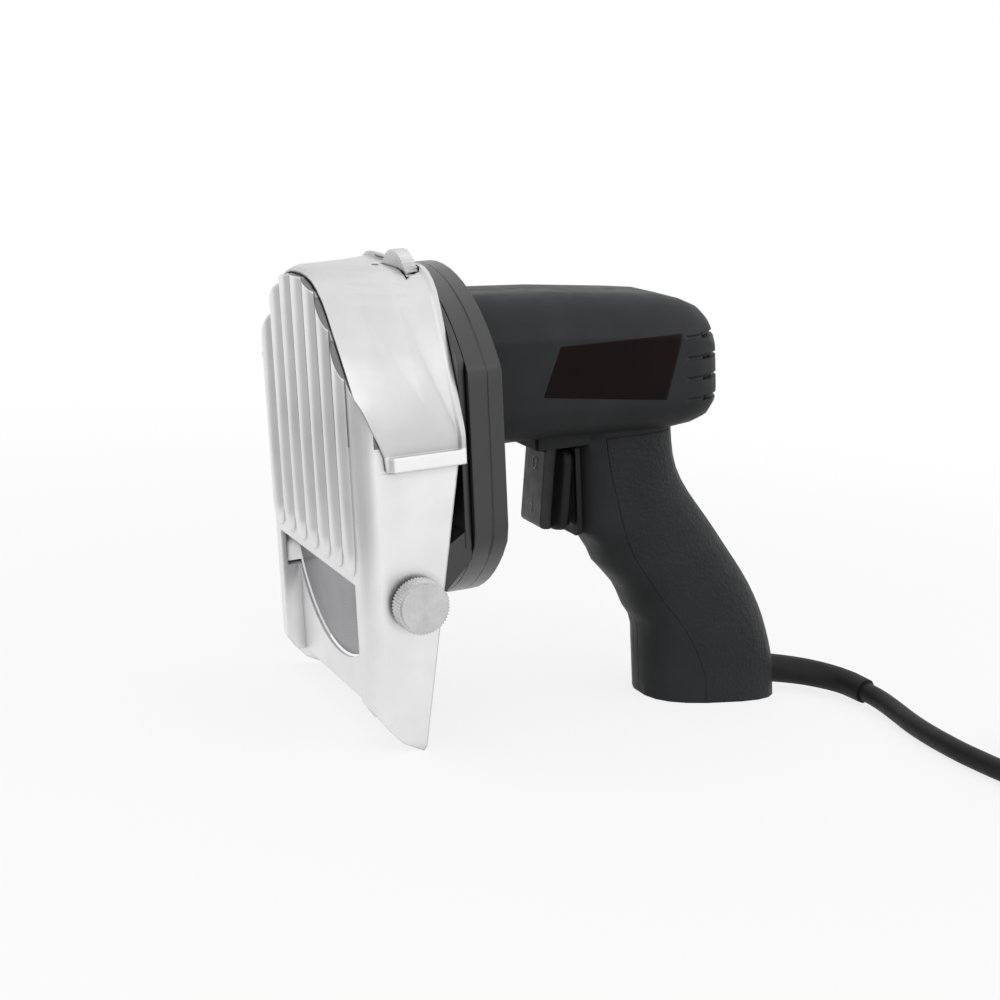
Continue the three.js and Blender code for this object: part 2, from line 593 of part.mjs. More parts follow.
// Handle: one loft for the barrel, one for the grip, split along the middle
const barrelRows = [
  [CASE_BACK + SEAT_GAP, 16.4, 28, 27], [40, 14.9, 27.5, 25.9], [70, 12.4, 26.9, 25.1],
    [82, 11.4, 26.3, 24.5],
  [91, 10.4, 25, 22.8], [97, 9.7, 23, 20.6], [100.6, 9.3, 20, 17.6], [102.6, 8.9, 16.5, 13.8],
    [103.4, 8.7, 13.5, 11],
];
function barrelLoop(x, centre, halfWidth, halfHeight, inset, steps) {
  const [w, h] = [halfWidth - inset, halfHeight - inset];
  const soft = Math.min(w, h) * 0.62;
  const crease = centre + h * CREASE_RISE;
  const crown = w * CROWN_HALF_WIDTH;
  const corners = [[-w, centre - h, soft * 0.8], [w, centre - h, soft * 0.8], [w, crease, CREASE_RADIUS],
    [crown, centre + h, soft], [-crown, centre + h, soft], [-w, crease, CREASE_RADIUS]];
  return rounded(corners, steps).map(([y, z]) => new THREE.Vector3(x, y, z));
}
const barrelOuter = loft(barrelRows.map(([x, c, w, h]) => barrelLoop(x, c, w, h, 0, 5)));
const barrelInner = loft(barrelRows.slice(0, 6).map(([x, c, w, h], i) =>
  barrelLoop(i ? x : x - 1, c, w, h, HANDLE_WALL, 2)));

const gripBack = [[-130, 131.5], [-109, 130.6], [-83.5, 122.6], [-55, 105.6], [-33, 91.6], [-17, 88.6],
  [-4, 90]];
function gripFront(z) {
  const top = FINGER_RIDGES[0];
  if (z >= top) return GRIP_FRONT;
  const bottom = FINGER_RIDGES.at(-1);
  const along = Math.min(1, (z - top) / (bottom - top));
  const start = GRIP_FRONT + SWITCH_STEP;
  const line = start + (GRIP_FRONT_FOOT - start) * Math.sin(along * Math.PI / 2) ** 1.4;
  const i = FINGER_RIDGES.findLastIndex((ridge) => ridge >= z);
  if (i >= FINGER_RIDGES.length - 1) return line;
  const share = (z - FINGER_RIDGES[i]) / (FINGER_RIDGES[i + 1] - FINGER_RIDGES[i]);
  return line + FINGER_DEPTH * (Math.sin(Math.PI * share) - 0.5);
}
const gripWidth = [[-130, 0.98], [-100, 1], [-60, 0.99], [-30, 0.95], [-4, 0.98]];
function gripLoop(z, inset, count) {
  const [front, back] = [gripFront(z) + inset, through(gripBack, z) - inset];
  const halfWidth = GRIP_HALF_WIDTH * through(gripWidth, z) - inset;
  return Array.from({ length: count }, (_, i) => {
    const angle = 2 * Math.PI * (i + 0.5) / count;
    const soft = (value) => Math.sign(value) * Math.abs(value) ** 0.72;
    const x = (front + back) / 2 + (back - front) / 2 * soft(Math.cos(angle));
    return new THREE.Vector3(x, halfWidth * soft(Math.sin(angle)), z);
  });
}
const levels = (from, to, count) =>
  Array.from({ length: count }, (_, i) => from + (to - from) * i / (count - 1));
const gripOuter = loft(levels(-130, 0, 27).map((z) => gripLoop(z, 0, 20)));
const gripInner = loft(levels(-131, 2, 8).map((z) => gripLoop(z, HANDLE_WALL + FINGER_DEPTH / 2, 10)));
const browBottom = ROCKER_Z + ROCKER_HEIGHT / 2 + 1.4;
const brow = prism('xy', rounded([[31, -13.5, 2], [60, -13.5, 2], [60, 13.5, 2], [31, 13.5, 2]], 2),
  browBottom, -6);
const below = new THREE.BoxGeometry(400, 100, 60);
below.translate(0, 0, -30);
below.rotateY(STANCE);
below.translate(FOOT_CENTRE_X, 0, floorAt(FOOT_CENTRE_X));
const underFloor = solid(below);
let handleOuter = barrelOuter.add(gripOuter).add(brow).subtract(underFloor);
for (let i = 0; i < BARREL_GROOVES; i += 1) {
  const z = 20.8 - GROOVE_PITCH * i;
  const ring = barrelRows.slice(3)
    .map(([x, c, w, h]) => barrelLoop(x - GROOVE_DEPTH, c, w, h, GROOVE_DEPTH, 5));
  const band = box([93, 110], [-40, 40], [z - 0.9, z + 0.9]);
  handleOuter = handleOuter.subtract(band.subtract(loft(ring)));
}

// Ribs left inside the barrel carry the stator, the rear bearing and the brush holders
const slab = (from, to, y, z, radius) => box([from, to], [-40, 40], [-30, 60])
  .subtract(holeX(from - 1, to + 1, y, z, radius, SEAT_GAP, 32));
const seats = [
  slab(STATOR_START + 4, STATOR_START + 6.5, 0, MOTOR_RISE, STATOR_RADIUS),
  slab(statorBack - 6.5, statorBack - 4, 0, MOTOR_RISE, STATOR_RADIUS),
  slab(rearBearingFront - 0.3, rearBearingBack + 0.5, 0, MOTOR_RISE, MOTOR_BEARING_RADIUS),
];
const footFloor = below.clone().translate(0, 0, HANDLE_WALL);
const barrelCavity = cutAll(barrelInner, seats);
const gripCavity = gripInner.subtract(solid(footFloor)).subtract(box([0, 200], [-60, 60], [-14, 60]));
const wireWay = box([60, 82], [-12, 12], [-20, 0]);
const handleHollow = barrelCavity.add(gripCavity).add(wireWay.subtract(union(seats)));

// Switch: body behind the front wall, boot outside, rocker through both
const bodyFront = GRIP_FRONT + HANDLE_WALL + SEAT_GAP;
const bodyDepth = 12;
const switchHalf = ROCKER_HEIGHT / 2 - 4;
const stemHalfHeight = 4;
const stemHalfWidth = 5;
const stemBack = GRIP_FRONT - 1.2;
const switchOpening = box([GRIP_FRONT - 5, bodyFront + 1], [-stemHalfWidth - 1, stemHalfWidth + 1],
  [ROCKER_Z - stemHalfHeight - 3, ROCKER_Z + stemHalfHeight + 3]);
const switchBlock = (gap) => box([bodyFront - gap, bodyFront + bodyDepth + gap],
  [-stemHalfWidth - 2.5 - gap, stemHalfWidth + 2.5 + gap],
    [ROCKER_Z - switchHalf - gap, ROCKER_Z + switchHalf + gap]);

// Strain relief and cord route on the table, in the tipped frame with the foot centre at zero
const reliefPath = [[20, 0, 8.6], [34, -0.6, 7.8], [48, -6.4, 7], [57, -17, 6.3], [59.6, -29, 5.7]];
const cordPath = [[59.7, -29.8, 5.65], [60, -45, 4.7], [57.6, -62, 4.1], [55.8, -80, 4], [55.8, -98, 4],
  [57.4, -113, 4], [59.8, -127, 4], [61.4, -139, 4]];
const toTable = new THREE.Matrix4().makeRotationY(-STANCE);
const footCentre = new THREE.Vector3(FOOT_CENTRE_X, 0, floorAt(FOOT_CENTRE_X)).applyMatrix4(toTable);
toTable.setPosition(footCentre.clone().negate());
const toTool = toTable.clone().invert();

function sweep(points, radii, count) {
  const curve = new THREE.CatmullRomCurve3(points.map((point) => new THREE.Vector3(...point)));
  const steps = (points.length - 1) * 3;
  const frames = curve.computeFrenetFrames(steps);
  return loft(levels(0, 1, steps + 1).map((t, i) => {
    const middle = curve.getPointAt(t);
    const radius = THREE.MathUtils.lerp(radii[0], radii[1], t);
    return circle(0, 0, radius, count).map(([u, v]) => middle.clone()
      .addScaledVector(frames.normals[i], u).addScaledVector(frames.binormals[i], v));
  }));
}

function inToolFrame(body) {
  const geometry = meshGeometry(body);
  geometry.applyMatrix4(toTool);
  return solid(geometry);
}
const relief = inToolFrame(sweep(reliefPath, [RELIEF_ROOT_RADIUS, RELIEF_END_RADIUS], 12));
const reliefHole = inToolFrame(sweep(reliefPath.slice(0, 3),
  [RELIEF_ROOT_RADIUS + 0.4, RELIEF_ROOT_RADIUS + 0.2], 12));

// Handle screws go in from the right half
const handleScrewPlaces = [[12, 36], [90, 10], [78, -40], [102, -92]];
const screwBoss = union(handleScrewPlaces.map(([x, z]) => rodY(-40, 40, x, z, HANDLE_SCREW_RADIUS + 2.4, 8)));
const screwHole = handleScrewPlaces.map(([x, z]) =>
  rodY(-13, 60, x, z, holeRadius(HANDLE_SCREW_RADIUS, SEAT_GAP, 8), 8));
const headHole = handleScrewPlaces.map(([x, z]) =>
  rodY(10 + SEAM_GAP, 60, x, z, holeRadius(HANDLE_SCREW_RADIUS + 1.6, SEAT_GAP, 8), 8));
const keepClear = rodX(CASE_BACK - 1, rearBearingBack, 0, MOTOR_RISE, STATOR_RADIUS + 0.6, 32);
const handleSolid = cutAll(handleOuter.subtract(handleHollow.subtract(screwBoss.subtract(keepClear))),
  [switchOpening, switchBlock(SEAT_GAP), reliefHole, ...screwHole, ...headHole,
    rodX(CASE_BACK - 1, motorBossEnd + 0.6, 0, MOTOR_RISE, MOTOR_BEARING_RADIUS + 3.6, 32)]);
// A tab of the left half crosses the seam in the foot, so that the halves can't slide on each other
const footTab = (gap) => box([FOOT_CENTRE_X - 7 - gap, FOOT_CENTRE_X + 7 + gap], [-2, 7 + gap],
  [floorAt(FOOT_CENTRE_X) - 10, floorAt(FOOT_CENTRE_X) + HANDLE_WALL - 1.2 + gap]);
const leftZone = box([-20, 200], [-60, -SEAM_GAP], [-200, 80]).add(footTab(0));
const rightZone = box([-20, 200], [SEAM_GAP, 60], [-200, 80]).subtract(footTab(SEAT_GAP));
add('handle_left', handleSolid.intersect(leftZone), blackPlastic);
add('handle_right', handleSolid.intersect(rightZone), blackPlastic);

// Blade cover: sections from the arched front to the rim on the gear case
const coverBottom = COVER_LOWER_EDGE;
function archCorners(half, side, shoulder, top, bottom, bend) {
  return [[-half, bottom, 0.3], [half, bottom, 0.3], [half, side, SIDE_BEND], [shoulder, top, bend],
    [-shoulder, top, bend], [-half, side, SIDE_BEND]];
}
function coverLoop(x, half, side, shoulder, top, bottom, bend) {
  return rounded(archCorners(half, side, shoulder, top, bottom, bend), 5)
    .map(([y, z]) => new THREE.Vector3(x, y, z));
}
const rimHalf = coverOuter;
const rimTop = CASE_TOP + 1.2;
const archGap = SLIDE_GAP;
const lip = archGap + 0.7;
const coverFront = PANEL_FRONT + 0.5;
const archEnd = PANEL_FRONT + GUARD_CORNER + GUARD_TRAVEL;
const coverRows = (inset, bottom) => [
  ...[coverFront + 4.4, archEnd].map((x) =>
    [x, coverOuter, ARCH_SIDE + 2.6, ARCH_SHOULDER + 2, ARCH_TOP + 2.6, ARCH_BEND]),
  [(archEnd + coverBack) / 2, coverOuter, (ARCH_SIDE + RIM_SIDE) / 2 + 1,
    (ARCH_SHOULDER + RIM_SHOULDER) / 2 + 0.6, (ARCH_TOP + 2.6 + rimTop) / 2, (ARCH_BEND + RIM_BEND) / 2],
  [coverBack - COVER_RIM - 0.8, rimHalf, RIM_SIDE, RIM_SHOULDER, rimTop, RIM_BEND],
].map(([x, half, side, shoulder, top, bend]) =>
  coverLoop(x, half - inset, side - inset * 0.4, shoulder - inset * 0.4, top - inset, bottom, bend - inset));
const frontRow = (x, grow, bottom) =>
  coverLoop(x, guardOuter + grow, ARCH_SIDE + grow * 0.4, ARCH_SHOULDER + grow * 0.4,
    ARCH_TOP + grow, bottom, ARCH_BEND + grow);
const rimRow = (x, bottom) =>
  coverLoop(x, rimHalf + COVER_RIM, RIM_SIDE + 0.6, RIM_SHOULDER + 0.6,
    rimTop + COVER_RIM, bottom, RIM_BEND + COVER_RIM);
const coverShell = loft([
  frontRow(coverFront, lip, coverBottom), frontRow(coverFront + 1.4, lip + COVER_BEVEL, coverBottom),
  ...coverRows(0, coverBottom), rimRow(coverBack - COVER_RIM, coverBottom), rimRow(coverBack, coverBottom)]);
const deep = coverBottom - 20;
const innerRows = coverRows(COVER_WALL, deep);
const coverHollow = loft([frontRow(coverFront - 1, archGap, deep), frontRow(coverFront + 2.2, archGap, deep),
  ...innerRows, innerRows.at(-1).map((point) => point.clone().setX(coverBack + 1))]);
const ledges = [-1, 1].map((side) => {
  const wall = coverInner - 1;
  const outline = [[coverFront + 7, wall], [coverFront + 10.5, coverOuter + LEDGE_PROUD],
    [coverBack - 3, coverOuter + LEDGE_PROUD], [coverBack - 0.2, coverOuter + COVER_RIM - 0.1],
      [coverBack - 0.2, wall]];
  return prism('xy', outline.map(([x, y]) => [x, side * y]), coverBottom, coverBottom + LEDGE_HEIGHT);
});
const wheelX = coverBack - COVER_RIM - 0.6 - WHEEL_WIDTH / 2;
const slotEnd = WHEEL_WIDTH / 2 + SLIDE_GAP;
const slotReach = WHEEL_RADIUS * 0.9;
const wheelSlot = prism('xy', rounded([[wheelX - slotEnd, WHEEL_Y - slotReach, slotEnd - 0.01],
  [wheelX + slotEnd, WHEEL_Y - slotReach, slotEnd - 0.01],
    [wheelX + slotEnd, WHEEL_Y + slotReach, slotEnd - 0.01],
  [wheelX - slotEnd, WHEEL_Y + slotReach, slotEnd - 0.01]], 4), WHEEL_Z, rimTop + 20);
const coverBossFront = coverBack - 13;
const coverBosses = [-1, 1].map((side) => {
  const web = [side * COVER_BOSS_Y, side * (rimHalf + 2)].sort((a, b) => a - b);
  return rodX(coverBossFront, coverBack, side * COVER_BOSS_Y, COVER_BOSS_Z, COVER_SCREW_RADIUS + 3)
    .add(box([coverBossFront, coverBack], web, [COVER_BOSS_Z - 3, COVER_BOSS_Z + 3]));
});
const ledgeHollow = loft(innerRows.concat([innerRows.at(-1)
  .map((point) => point.clone().setX(coverBack + 1))]));
let cover = coverShell.add(union(ledges)).subtract(coverHollow).subtract(ledgeHollow);
const wheelRoom = rodX(wheelX - slotEnd, wheelX + slotEnd, WHEEL_Y, WHEEL_Z, WHEEL_RADIUS + SLIDE_GAP, 32);
cover = cover.add(union(coverBosses).intersect(coverShell)).subtract(wheelSlot).subtract(wheelRoom);
const planHalf = coverOuter + LEDGE_PROUD + 0.6;
const coverPlan = rounded([[coverFront - 0.01, -planHalf, 7], [coverBack + 9, -planHalf - 4, 0.3],
  [coverBack + 9, planHalf + 4, 0.3], [coverFront - 0.01, planHalf, 7]], 6);
cover = cover.intersect(prism('xy', coverPlan, coverBottom - 1, ARCH_TOP + rimTop));
const edgeBack = coverFront + 8;
cover = cover.subtract(prism('xz', [[coverFront - 5, ARCH_SIDE + 4], [coverFront, ARCH_SIDE + 4],
  [edgeBack, coverBottom + LEDGE_HEIGHT], [edgeBack + 0.6, coverBottom - 1],
    [coverFront - 5, coverBottom - 1]],
-2 * coverOuter, 2 * coverOuter));
[-1, 1].forEach((side) => {
  cover = cover.subtract(holeX(coverBossFront + 2, coverBack + 1, side * COVER_BOSS_Y, COVER_BOSS_Z,
    COVER_SCREW_RADIUS,
    PRESS_GAP, 8));
});
add('blade_cover', cover, polished);
[-1, 1].forEach((side, i) => {
  const head = plateBack + SEAT_GAP;
  const screw = rodX(coverBossFront + 2.4, head + 1, side * COVER_BOSS_Y, COVER_BOSS_Z, COVER_SCREW_RADIUS, 8)
    .add(rodX(head, head + 2.2, side * COVER_BOSS_Y, COVER_BOSS_Z, COVER_SCREW_RADIUS + 1.6, 8));
  add(`cover_screw_${i + 1}`, screw, steel);
});

// Ribbed guard
const planCorners = (inset) => [[PANEL_FRONT + inset, inset - guardOuter, GUARD_CORNER - inset],
  [20, inset - guardOuter, 0.2], [20, guardOuter - inset, 0.2],
    [PANEL_FRONT + inset, guardOuter - inset, GUARD_CORNER - inset]];
const guardWalls = prism('xy', rounded(planCorners(0), 6), TIP_Z - 5, ARCH_TOP + 2)
  .subtract(prism('xy', rounded(planCorners(SHEET), 6).map(([x, y]) => [x > 10 ? x + 5 : x, y]), TIP_Z - 6,
    ARCH_TOP + 3));
const archOutline = rounded(
  archCorners(guardOuter, ARCH_SIDE, ARCH_SHOULDER, ARCH_TOP, WALL_TOP - 0.01, ARCH_BEND), 5);
const panelZone = prism('yz', archOutline, PANEL_FRONT - 10, PANEL_FRONT + GUARD_CORNER + 3);
const wallZone = prism('xz', [[PANEL_FRONT - 10, WALL_TOP], [PANEL_FRONT - 10, FRONT_EDGE_Z + 4],
  [PANEL_FRONT, FRONT_EDGE_Z],
  [PANEL_FRONT + 5.2, FRONT_EDGE_Z - 7.8], [PANEL_FRONT + 9.9, FRONT_EDGE_Z - 13.1],
    [TIP_X - 3.7, TIP_Z + 1.9],
  [TIP_X, TIP_Z], [TIP_X + 1.2, TIP_Z + 1.6], [WALL_REAR_TOP, WALL_TOP]], -60 - guardOuter, 60 + guardOuter);
let guard = guardWalls.intersect(panelZone.add(wallZone));
const recessOpening = box([PANEL_FRONT - 5, PANEL_FRONT + 4], [-RECESS_HALF_WIDTH, RECESS_HALF_WIDTH],
  [TIP_Z - 9, PANEL_LOWER_EDGE]);
guard = guard.subtract(recessOpening);
const trayBack = plateFace + SHEET;
const tray = box([PANEL_FRONT, trayBack], [-RECESS_HALF_WIDTH - SHEET, RECESS_HALF_WIDTH + SHEET],
  [FRONT_EDGE_Z - 6, PANEL_LOWER_EDGE]);
const trayHollow = box([PANEL_FRONT - 1, plateFace], [-RECESS_HALF_WIDTH, RECESS_HALF_WIDTH],
  [FRONT_EDGE_Z - 9, PANEL_LOWER_EDGE + 1]);
const bladeWay = rodX(PANEL_FRONT + SHEET + 1, trayBack + 1, 0, axisZ, BLADE_RADIUS + BLADE_WINDOW_GAP, 64)
  .intersect(box([PANEL_FRONT, 0], [-guardInner + 4, guardInner - 4], [TIP_Z, PANEL_LOWER_EDGE + 0.5]));
const trayShell = tray.subtract(trayHollow).subtract(bladeWay).intersect(wallZone);
guard = guard.add(trayShell);
const ribZone = panelZone.add(box([PANEL_FRONT - 10, PANEL_FRONT + 5], [-60, 60],
  [2 * PANEL_LOWER_EDGE, WALL_TOP + 0.1]))
  .subtract(box([panelInner, 0], [-99, 99], [-199, 99]));
const ribRows = levels(0.15, 1, 4).map((t) => [RIB_WIDTH * 0.8 * t ** 2, Math.sqrt(t)]);
for (let i = 0; i < RIB_COUNT; i += 1) {
  const y = (i - (RIB_COUNT - 1) / 2) * RIB_PITCH;
  const ribLoop = (z, share) => circle(0, 0, share, 18).map(([u, v]) =>
    new THREE.Vector3(PANEL_FRONT - RIB_HEIGHT * u, y + RIB_WIDTH / 2 * v, z));
  const start = PANEL_LOWER_EDGE + RIB_END_BAND;
  const rib = loft([...ribRows.map(([rise, share]) => ribLoop(start + rise, share)),
    ribLoop(ARCH_TOP + 1, 1)]);
  guard = guard.add(rib.intersect(ribZone));
}
const slotHalf = LOCK_SHANK + SLIDE_GAP;
const lockSlot = (from, to) => prism('xz',
  rounded([[LOCK_X - GUARD_TRAVEL - slotHalf, LOCK_Z - slotHalf, slotHalf - 0.01],
  [LOCK_X + slotHalf, LOCK_Z - slotHalf, slotHalf - 0.01],
    [LOCK_X + slotHalf, LOCK_Z + slotHalf, slotHalf - 0.01],
  [LOCK_X - GUARD_TRAVEL - slotHalf, LOCK_Z + slotHalf, slotHalf - 0.01]], 4), from, to);
guard = cutAll(guard, [lockSlot(-guardOuter - 2, -guardInner + 2), lockSlot(guardInner - 2, guardOuter + 2)]);
add('ribbed_guard', guard, polished);
const rodBack = wheelX + WHEEL_WIDTH / 2 + 0.8;
const guardRod = rodX(panelInner + PRESS_GAP, rodBack, WHEEL_Y, WHEEL_Z, ROD_RADIUS)
  .add(rodX(panelInner + PRESS_GAP, panelInner + 3, WHEEL_Y, WHEEL_Z, ROD_RADIUS + 1.5));
add('guard_rod', guardRod, steel);

// Knurled turning pieces
function knurled(radius, count, depth) {
  return circle(0, 0, radius, 2 * count).map(([u, v], i) => {
    const share = i % 2 ? 1 - depth / radius : 1;
    return [u * share, v * share];
  });
}
const wheelOutline = knurled(WHEEL_RADIUS, WHEEL_KNURLS, 0.7).map(([u, v]) => [u + WHEEL_Y, v + WHEEL_Z]);
add('thickness_wheel', prism('yz', wheelOutline, wheelX - WHEEL_WIDTH / 2, wheelX + WHEEL_WIDTH / 2)
  .subtract(holeX(wheelX - 9, wheelX + 9, WHEEL_Y, WHEEL_Z, ROD_RADIUS, RUN_GAP)), steel);
const washerOuter = -guardOuter - SEAT_GAP;
const knobInner = washerOuter - WASHER_THICKNESS - 0.15;
const washerHole = rodY(washerOuter - 5, washerOuter + 5, LOCK_X, LOCK_Z, holeRadius(LOCK_SHANK, RUN_GAP));
add('lock_washer', rodY(washerOuter - WASHER_THICKNESS, washerOuter, LOCK_X, LOCK_Z, LOCK_SHANK + 4.2)
  .subtract(washerHole), steel);
const knobOutline = knurled(KNOB_RADIUS, KNOB_KNURLS, 0.6).map(([u, v]) => [u + LOCK_X, v + LOCK_Z]);
const knob = prism('xz', knobOutline, knobInner - KNOB_LENGTH + 1, knobInner - 1)
  .add(rodY(knobInner - KNOB_LENGTH, knobInner, LOCK_X, LOCK_Z, KNOB_RADIUS - 1.1, 32))
  .add(rodY(knobInner - 1, -lugOuter + 13, LOCK_X, LOCK_Z, LOCK_SHANK));
add('lock_knob', knob, polished);
add('guide_pin', rodY(lugOuter - 13, guardOuter + SEAT_GAP + 1, LOCK_X, LOCK_Z, LOCK_SHANK)
  .add(rodY(guardOuter + SEAT_GAP, guardOuter + SEAT_GAP + 2.2, LOCK_X, LOCK_Z, LOCK_SHANK + 3)), steel);

// Brush gear
const brushX = (commutatorFront + commutatorBack) / 2;
const holderHalf = BRUSH_SIDE / 2 + HOLDER_WALL + SEAT_GAP;
const barrelInside = through(barrelRows.map(([x, , w]) => [x, w]), brushX) - HANDLE_WALL;
[-1, 1].forEach((side, i) => {
  const across = (a, b) => [side * a, side * b].sort((p, q) => p - q);
  const square = (half) => [[brushX - half, brushX + half], [MOTOR_RISE - half, MOTOR_RISE + half]];
  const [holderX, holderZ] = square(holderHalf);
  const [wayX, wayZ] = square(BRUSH_SIDE / 2 + SEAT_GAP);
  const [blockX, blockZ] = square(BRUSH_SIDE / 2);
  const holder = box(holderX, across(COMMUTATOR_RADIUS + 2, barrelInside - 0.9), holderZ)
    .subtract(box(wayX, across(COMMUTATOR_RADIUS + 1, barrelInside - 2.4), wayZ));
  add(`brush_holder_${i + 1}`, holder, brass);
  add(`carbon_brush_${i + 1}`, box(blockX,
    across(COMMUTATOR_RADIUS + 0.15, COMMUTATOR_RADIUS + BRUSH_LENGTH), blockZ), carbon);
});

// Screws of the handle
handleScrewPlaces.forEach(([x, z], i) => {
  const screw = rodY(-12, 11.2 + SEAM_GAP, x, z, HANDLE_SCREW_RADIUS, 8)
    .add(rodY(10.2 + SEAM_GAP, 12.2 + SEAM_GAP, x, z, HANDLE_SCREW_RADIUS + 1.6, 8));
  add(`handle_screw_${i + 1}`, screw, steel);
});

// Switch pieces
const turnRocker = new THREE.Matrix4().makeTranslation(ROCKER_PIVOT_X, 0, ROCKER_Z)
  .multiply(new THREE.Matrix4().makeRotationY(ROCKER_TILT));
add('switch_body', switchBlock(0), glossBlack);
const paddleOutline = rounded([[ROCKER_FACE_X - ROCKER_PIVOT_X, -ROCKER_HEIGHT / 2, 2],
  [ROCKER_FACE_X + ROCKER_THICKNESS - ROCKER_PIVOT_X, -ROCKER_HEIGHT / 2, 0.6],
  [ROCKER_FACE_X + ROCKER_THICKNESS - ROCKER_PIVOT_X, ROCKER_HEIGHT / 2, 0.6],
  [ROCKER_FACE_X - ROCKER_PIVOT_X, ROCKER_HEIGHT / 2, 2]], 3);
const paddle = prism('xz', paddleOutline, -ROCKER_WIDTH / 2, ROCKER_WIDTH / 2)
  .add(box([ROCKER_FACE_X + 2 - ROCKER_PIVOT_X, stemBack - ROCKER_PIVOT_X], [-stemHalfWidth, stemHalfWidth],
    [-stemHalfHeight, stemHalfHeight]))
  .subtract(rodY(-stemHalfWidth - 1, stemHalfWidth + 1, 0, 0, holeRadius(PIN_RADIUS, RUN_GAP)));
const rockerGeometry = meshGeometry(paddle);
rockerGeometry.applyMatrix4(turnRocker);
add('switch_rocker', solid(rockerGeometry), glossBlack);
add('rocker_pin', rodY(-BOOT_HALF_WIDTH + 2.2, BOOT_HALF_WIDTH - 2.2, ROCKER_PIVOT_X, ROCKER_Z, PIN_RADIUS),
  steel);
const bootHalfHeight = ROCKER_HEIGHT / 2 - 1;
const bootFront = ROCKER_FACE_X + ROCKER_THICKNESS + 2.6;
const bootBack = GRIP_FRONT - SEAT_GAP;
const bootRow = (x, inset) => rounded([[-BOOT_HALF_WIDTH + inset, ROCKER_Z - bootHalfHeight + inset, 2],
  [BOOT_HALF_WIDTH - inset, ROCKER_Z - bootHalfHeight + inset, 2],
    [BOOT_HALF_WIDTH - inset, ROCKER_Z + bootHalfHeight - inset, 2],
  [-BOOT_HALF_WIDTH + inset, ROCKER_Z + bootHalfHeight - inset, 2]], 2).map(([y, z]) =>
    new THREE.Vector3(x, y, z));
const bootRows = levels(bootFront, bootBack, 2 * BOOT_PLEATS + 1).map((x, i) => bootRow(x, i % 2 ? 1.3 : 0));
const bootHollow = box([bootFront - 1, bootBack + 1], [-stemHalfWidth - 2.4, stemHalfWidth + 2.4],
  [ROCKER_Z - stemHalfHeight - 3, ROCKER_Z + stemHalfHeight + 3]);
const pinSeat = rodY(-BOOT_HALF_WIDTH + 2, BOOT_HALF_WIDTH - 2, ROCKER_PIVOT_X, ROCKER_Z,
  holeRadius(PIN_RADIUS, PRESS_GAP));
const [flangeHalf, flangeLow] = [BOOT_HALF_WIDTH + FLANGE_MARGIN, ROCKER_Z - bootHalfHeight
  - 1.5 * FLANGE_MARGIN];
const flangeHigh = browBottom - SEAT_GAP;
const flange = prism('yz', rounded([[-flangeHalf, flangeLow, 2], [flangeHalf, flangeLow, 2],
  [flangeHalf, flangeHigh, 1],
  [-flangeHalf, flangeHigh, 1]], 2), bootBack - FLANGE_THICKNESS, bootBack);
add('switch_boot', cutAll(loft(bootRows).add(flange), [bootHollow, pinSeat]), rubber);

// Cord pieces
add('strain_relief', relief, rubber);
const clampPlace = new THREE.Vector3(reliefPath[0][0] - 3.2, 0, reliefPath[0][2] + 0.6);
const clamp = box([clampPlace.x - 3, clampPlace.x + 2.8], [-9, 9], [clampPlace.z - 4.6, clampPlace.z + 6]);
add('cord_clamp', inToolFrame(clamp), blackPlastic);
tool.applyMatrix4(toTable);

const cordCurve = new THREE.CatmullRomCurve3(cordPath.map((point) => new THREE.Vector3(...point)));
const cordShape = new THREE.Shape(circle(0, 0, CORD_RADIUS, 10).map(([u, v]) => new THREE.Vector2(u, v)));
const cordSteps = Math.round(cordCurve.getLength() / (5 * CORD_RADIUS));
add('mains_cord', solid(new THREE.ExtrudeGeometry(cordShape,
  { steps: cordSteps, extrudePath: cordCurve, bevelEnabled: false })),
  rubber, ground);
const coilHalf = COIL_TURNS_WIDE * CORD_RADIUS;
const coilTop = FLOOR_GAP + 2 * CORD_RADIUS * COIL_LAYERS;
const cordEnd = cordPath.at(-1);
const coilCentre = [cordEnd[0] + CORD_RADIUS + COIL_GAP + coilHalf + COIL_RADIUS, cordEnd[1]];
const coilSection = [[-coilHalf, FLOOR_GAP], [coilHalf, FLOOR_GAP], [coilHalf, coilTop], [-coilHalf, coilTop],
  [-coilHalf, FLOOR_GAP]];
const coilGeometry = new THREE.LatheGeometry(
  coilSection.map(([r, z]) => new THREE.Vector2(COIL_RADIUS + r, z)), 48);
coilGeometry.rotateX(Math.PI / 2);
coilGeometry.translate(coilCentre[0], coilCentre[1], 0);
add('cord_coil', solid(coilGeometry), rubber, ground);

// The plug lies on the coil, along the near side of the ring
const plugX = coilCentre[0] - PLUG_BACK;
const plugY = coilCentre[1] - COIL_RADIUS + PLUG_INSET;
const plugBase = coilTop + SEAT_GAP;
const plugPinZ = plugBase + PLUG_HEIGHT / 2;
const plugRow = (along, half, rise) => {
  const [low, high] = [plugPinZ - rise, plugPinZ + rise];
  return rounded([[-half, low, 2], [half, low, 2], [half, high, 2], [-half, high, 2]], 3)
    .map(([y, z]) => new THREE.Vector3(plugX + along, plugY + y, z));
};
const plugBody = loft([plugRow(0, 4.6, 4.6), plugRow(10, 5.4, 5.4), plugRow(12, 8, PLUG_HEIGHT / 2),
  plugRow(20, 12.5, PLUG_HEIGHT / 2), plugRow(PLUG_LENGTH, PLUG_HALF_WIDTH, PLUG_HEIGHT / 2)]);
const pinStart = plugX + PLUG_LENGTH - 6;
const pinPlaces = [-1, 1].map((side) => plugY + side * PLUG_PIN_SPACING / 2);
const pinHoles = pinPlaces.map((y) =>
  holeX(pinStart - 0.3, pinStart + 20, y, plugPinZ, PLUG_PIN_RADIUS, PRESS_GAP));
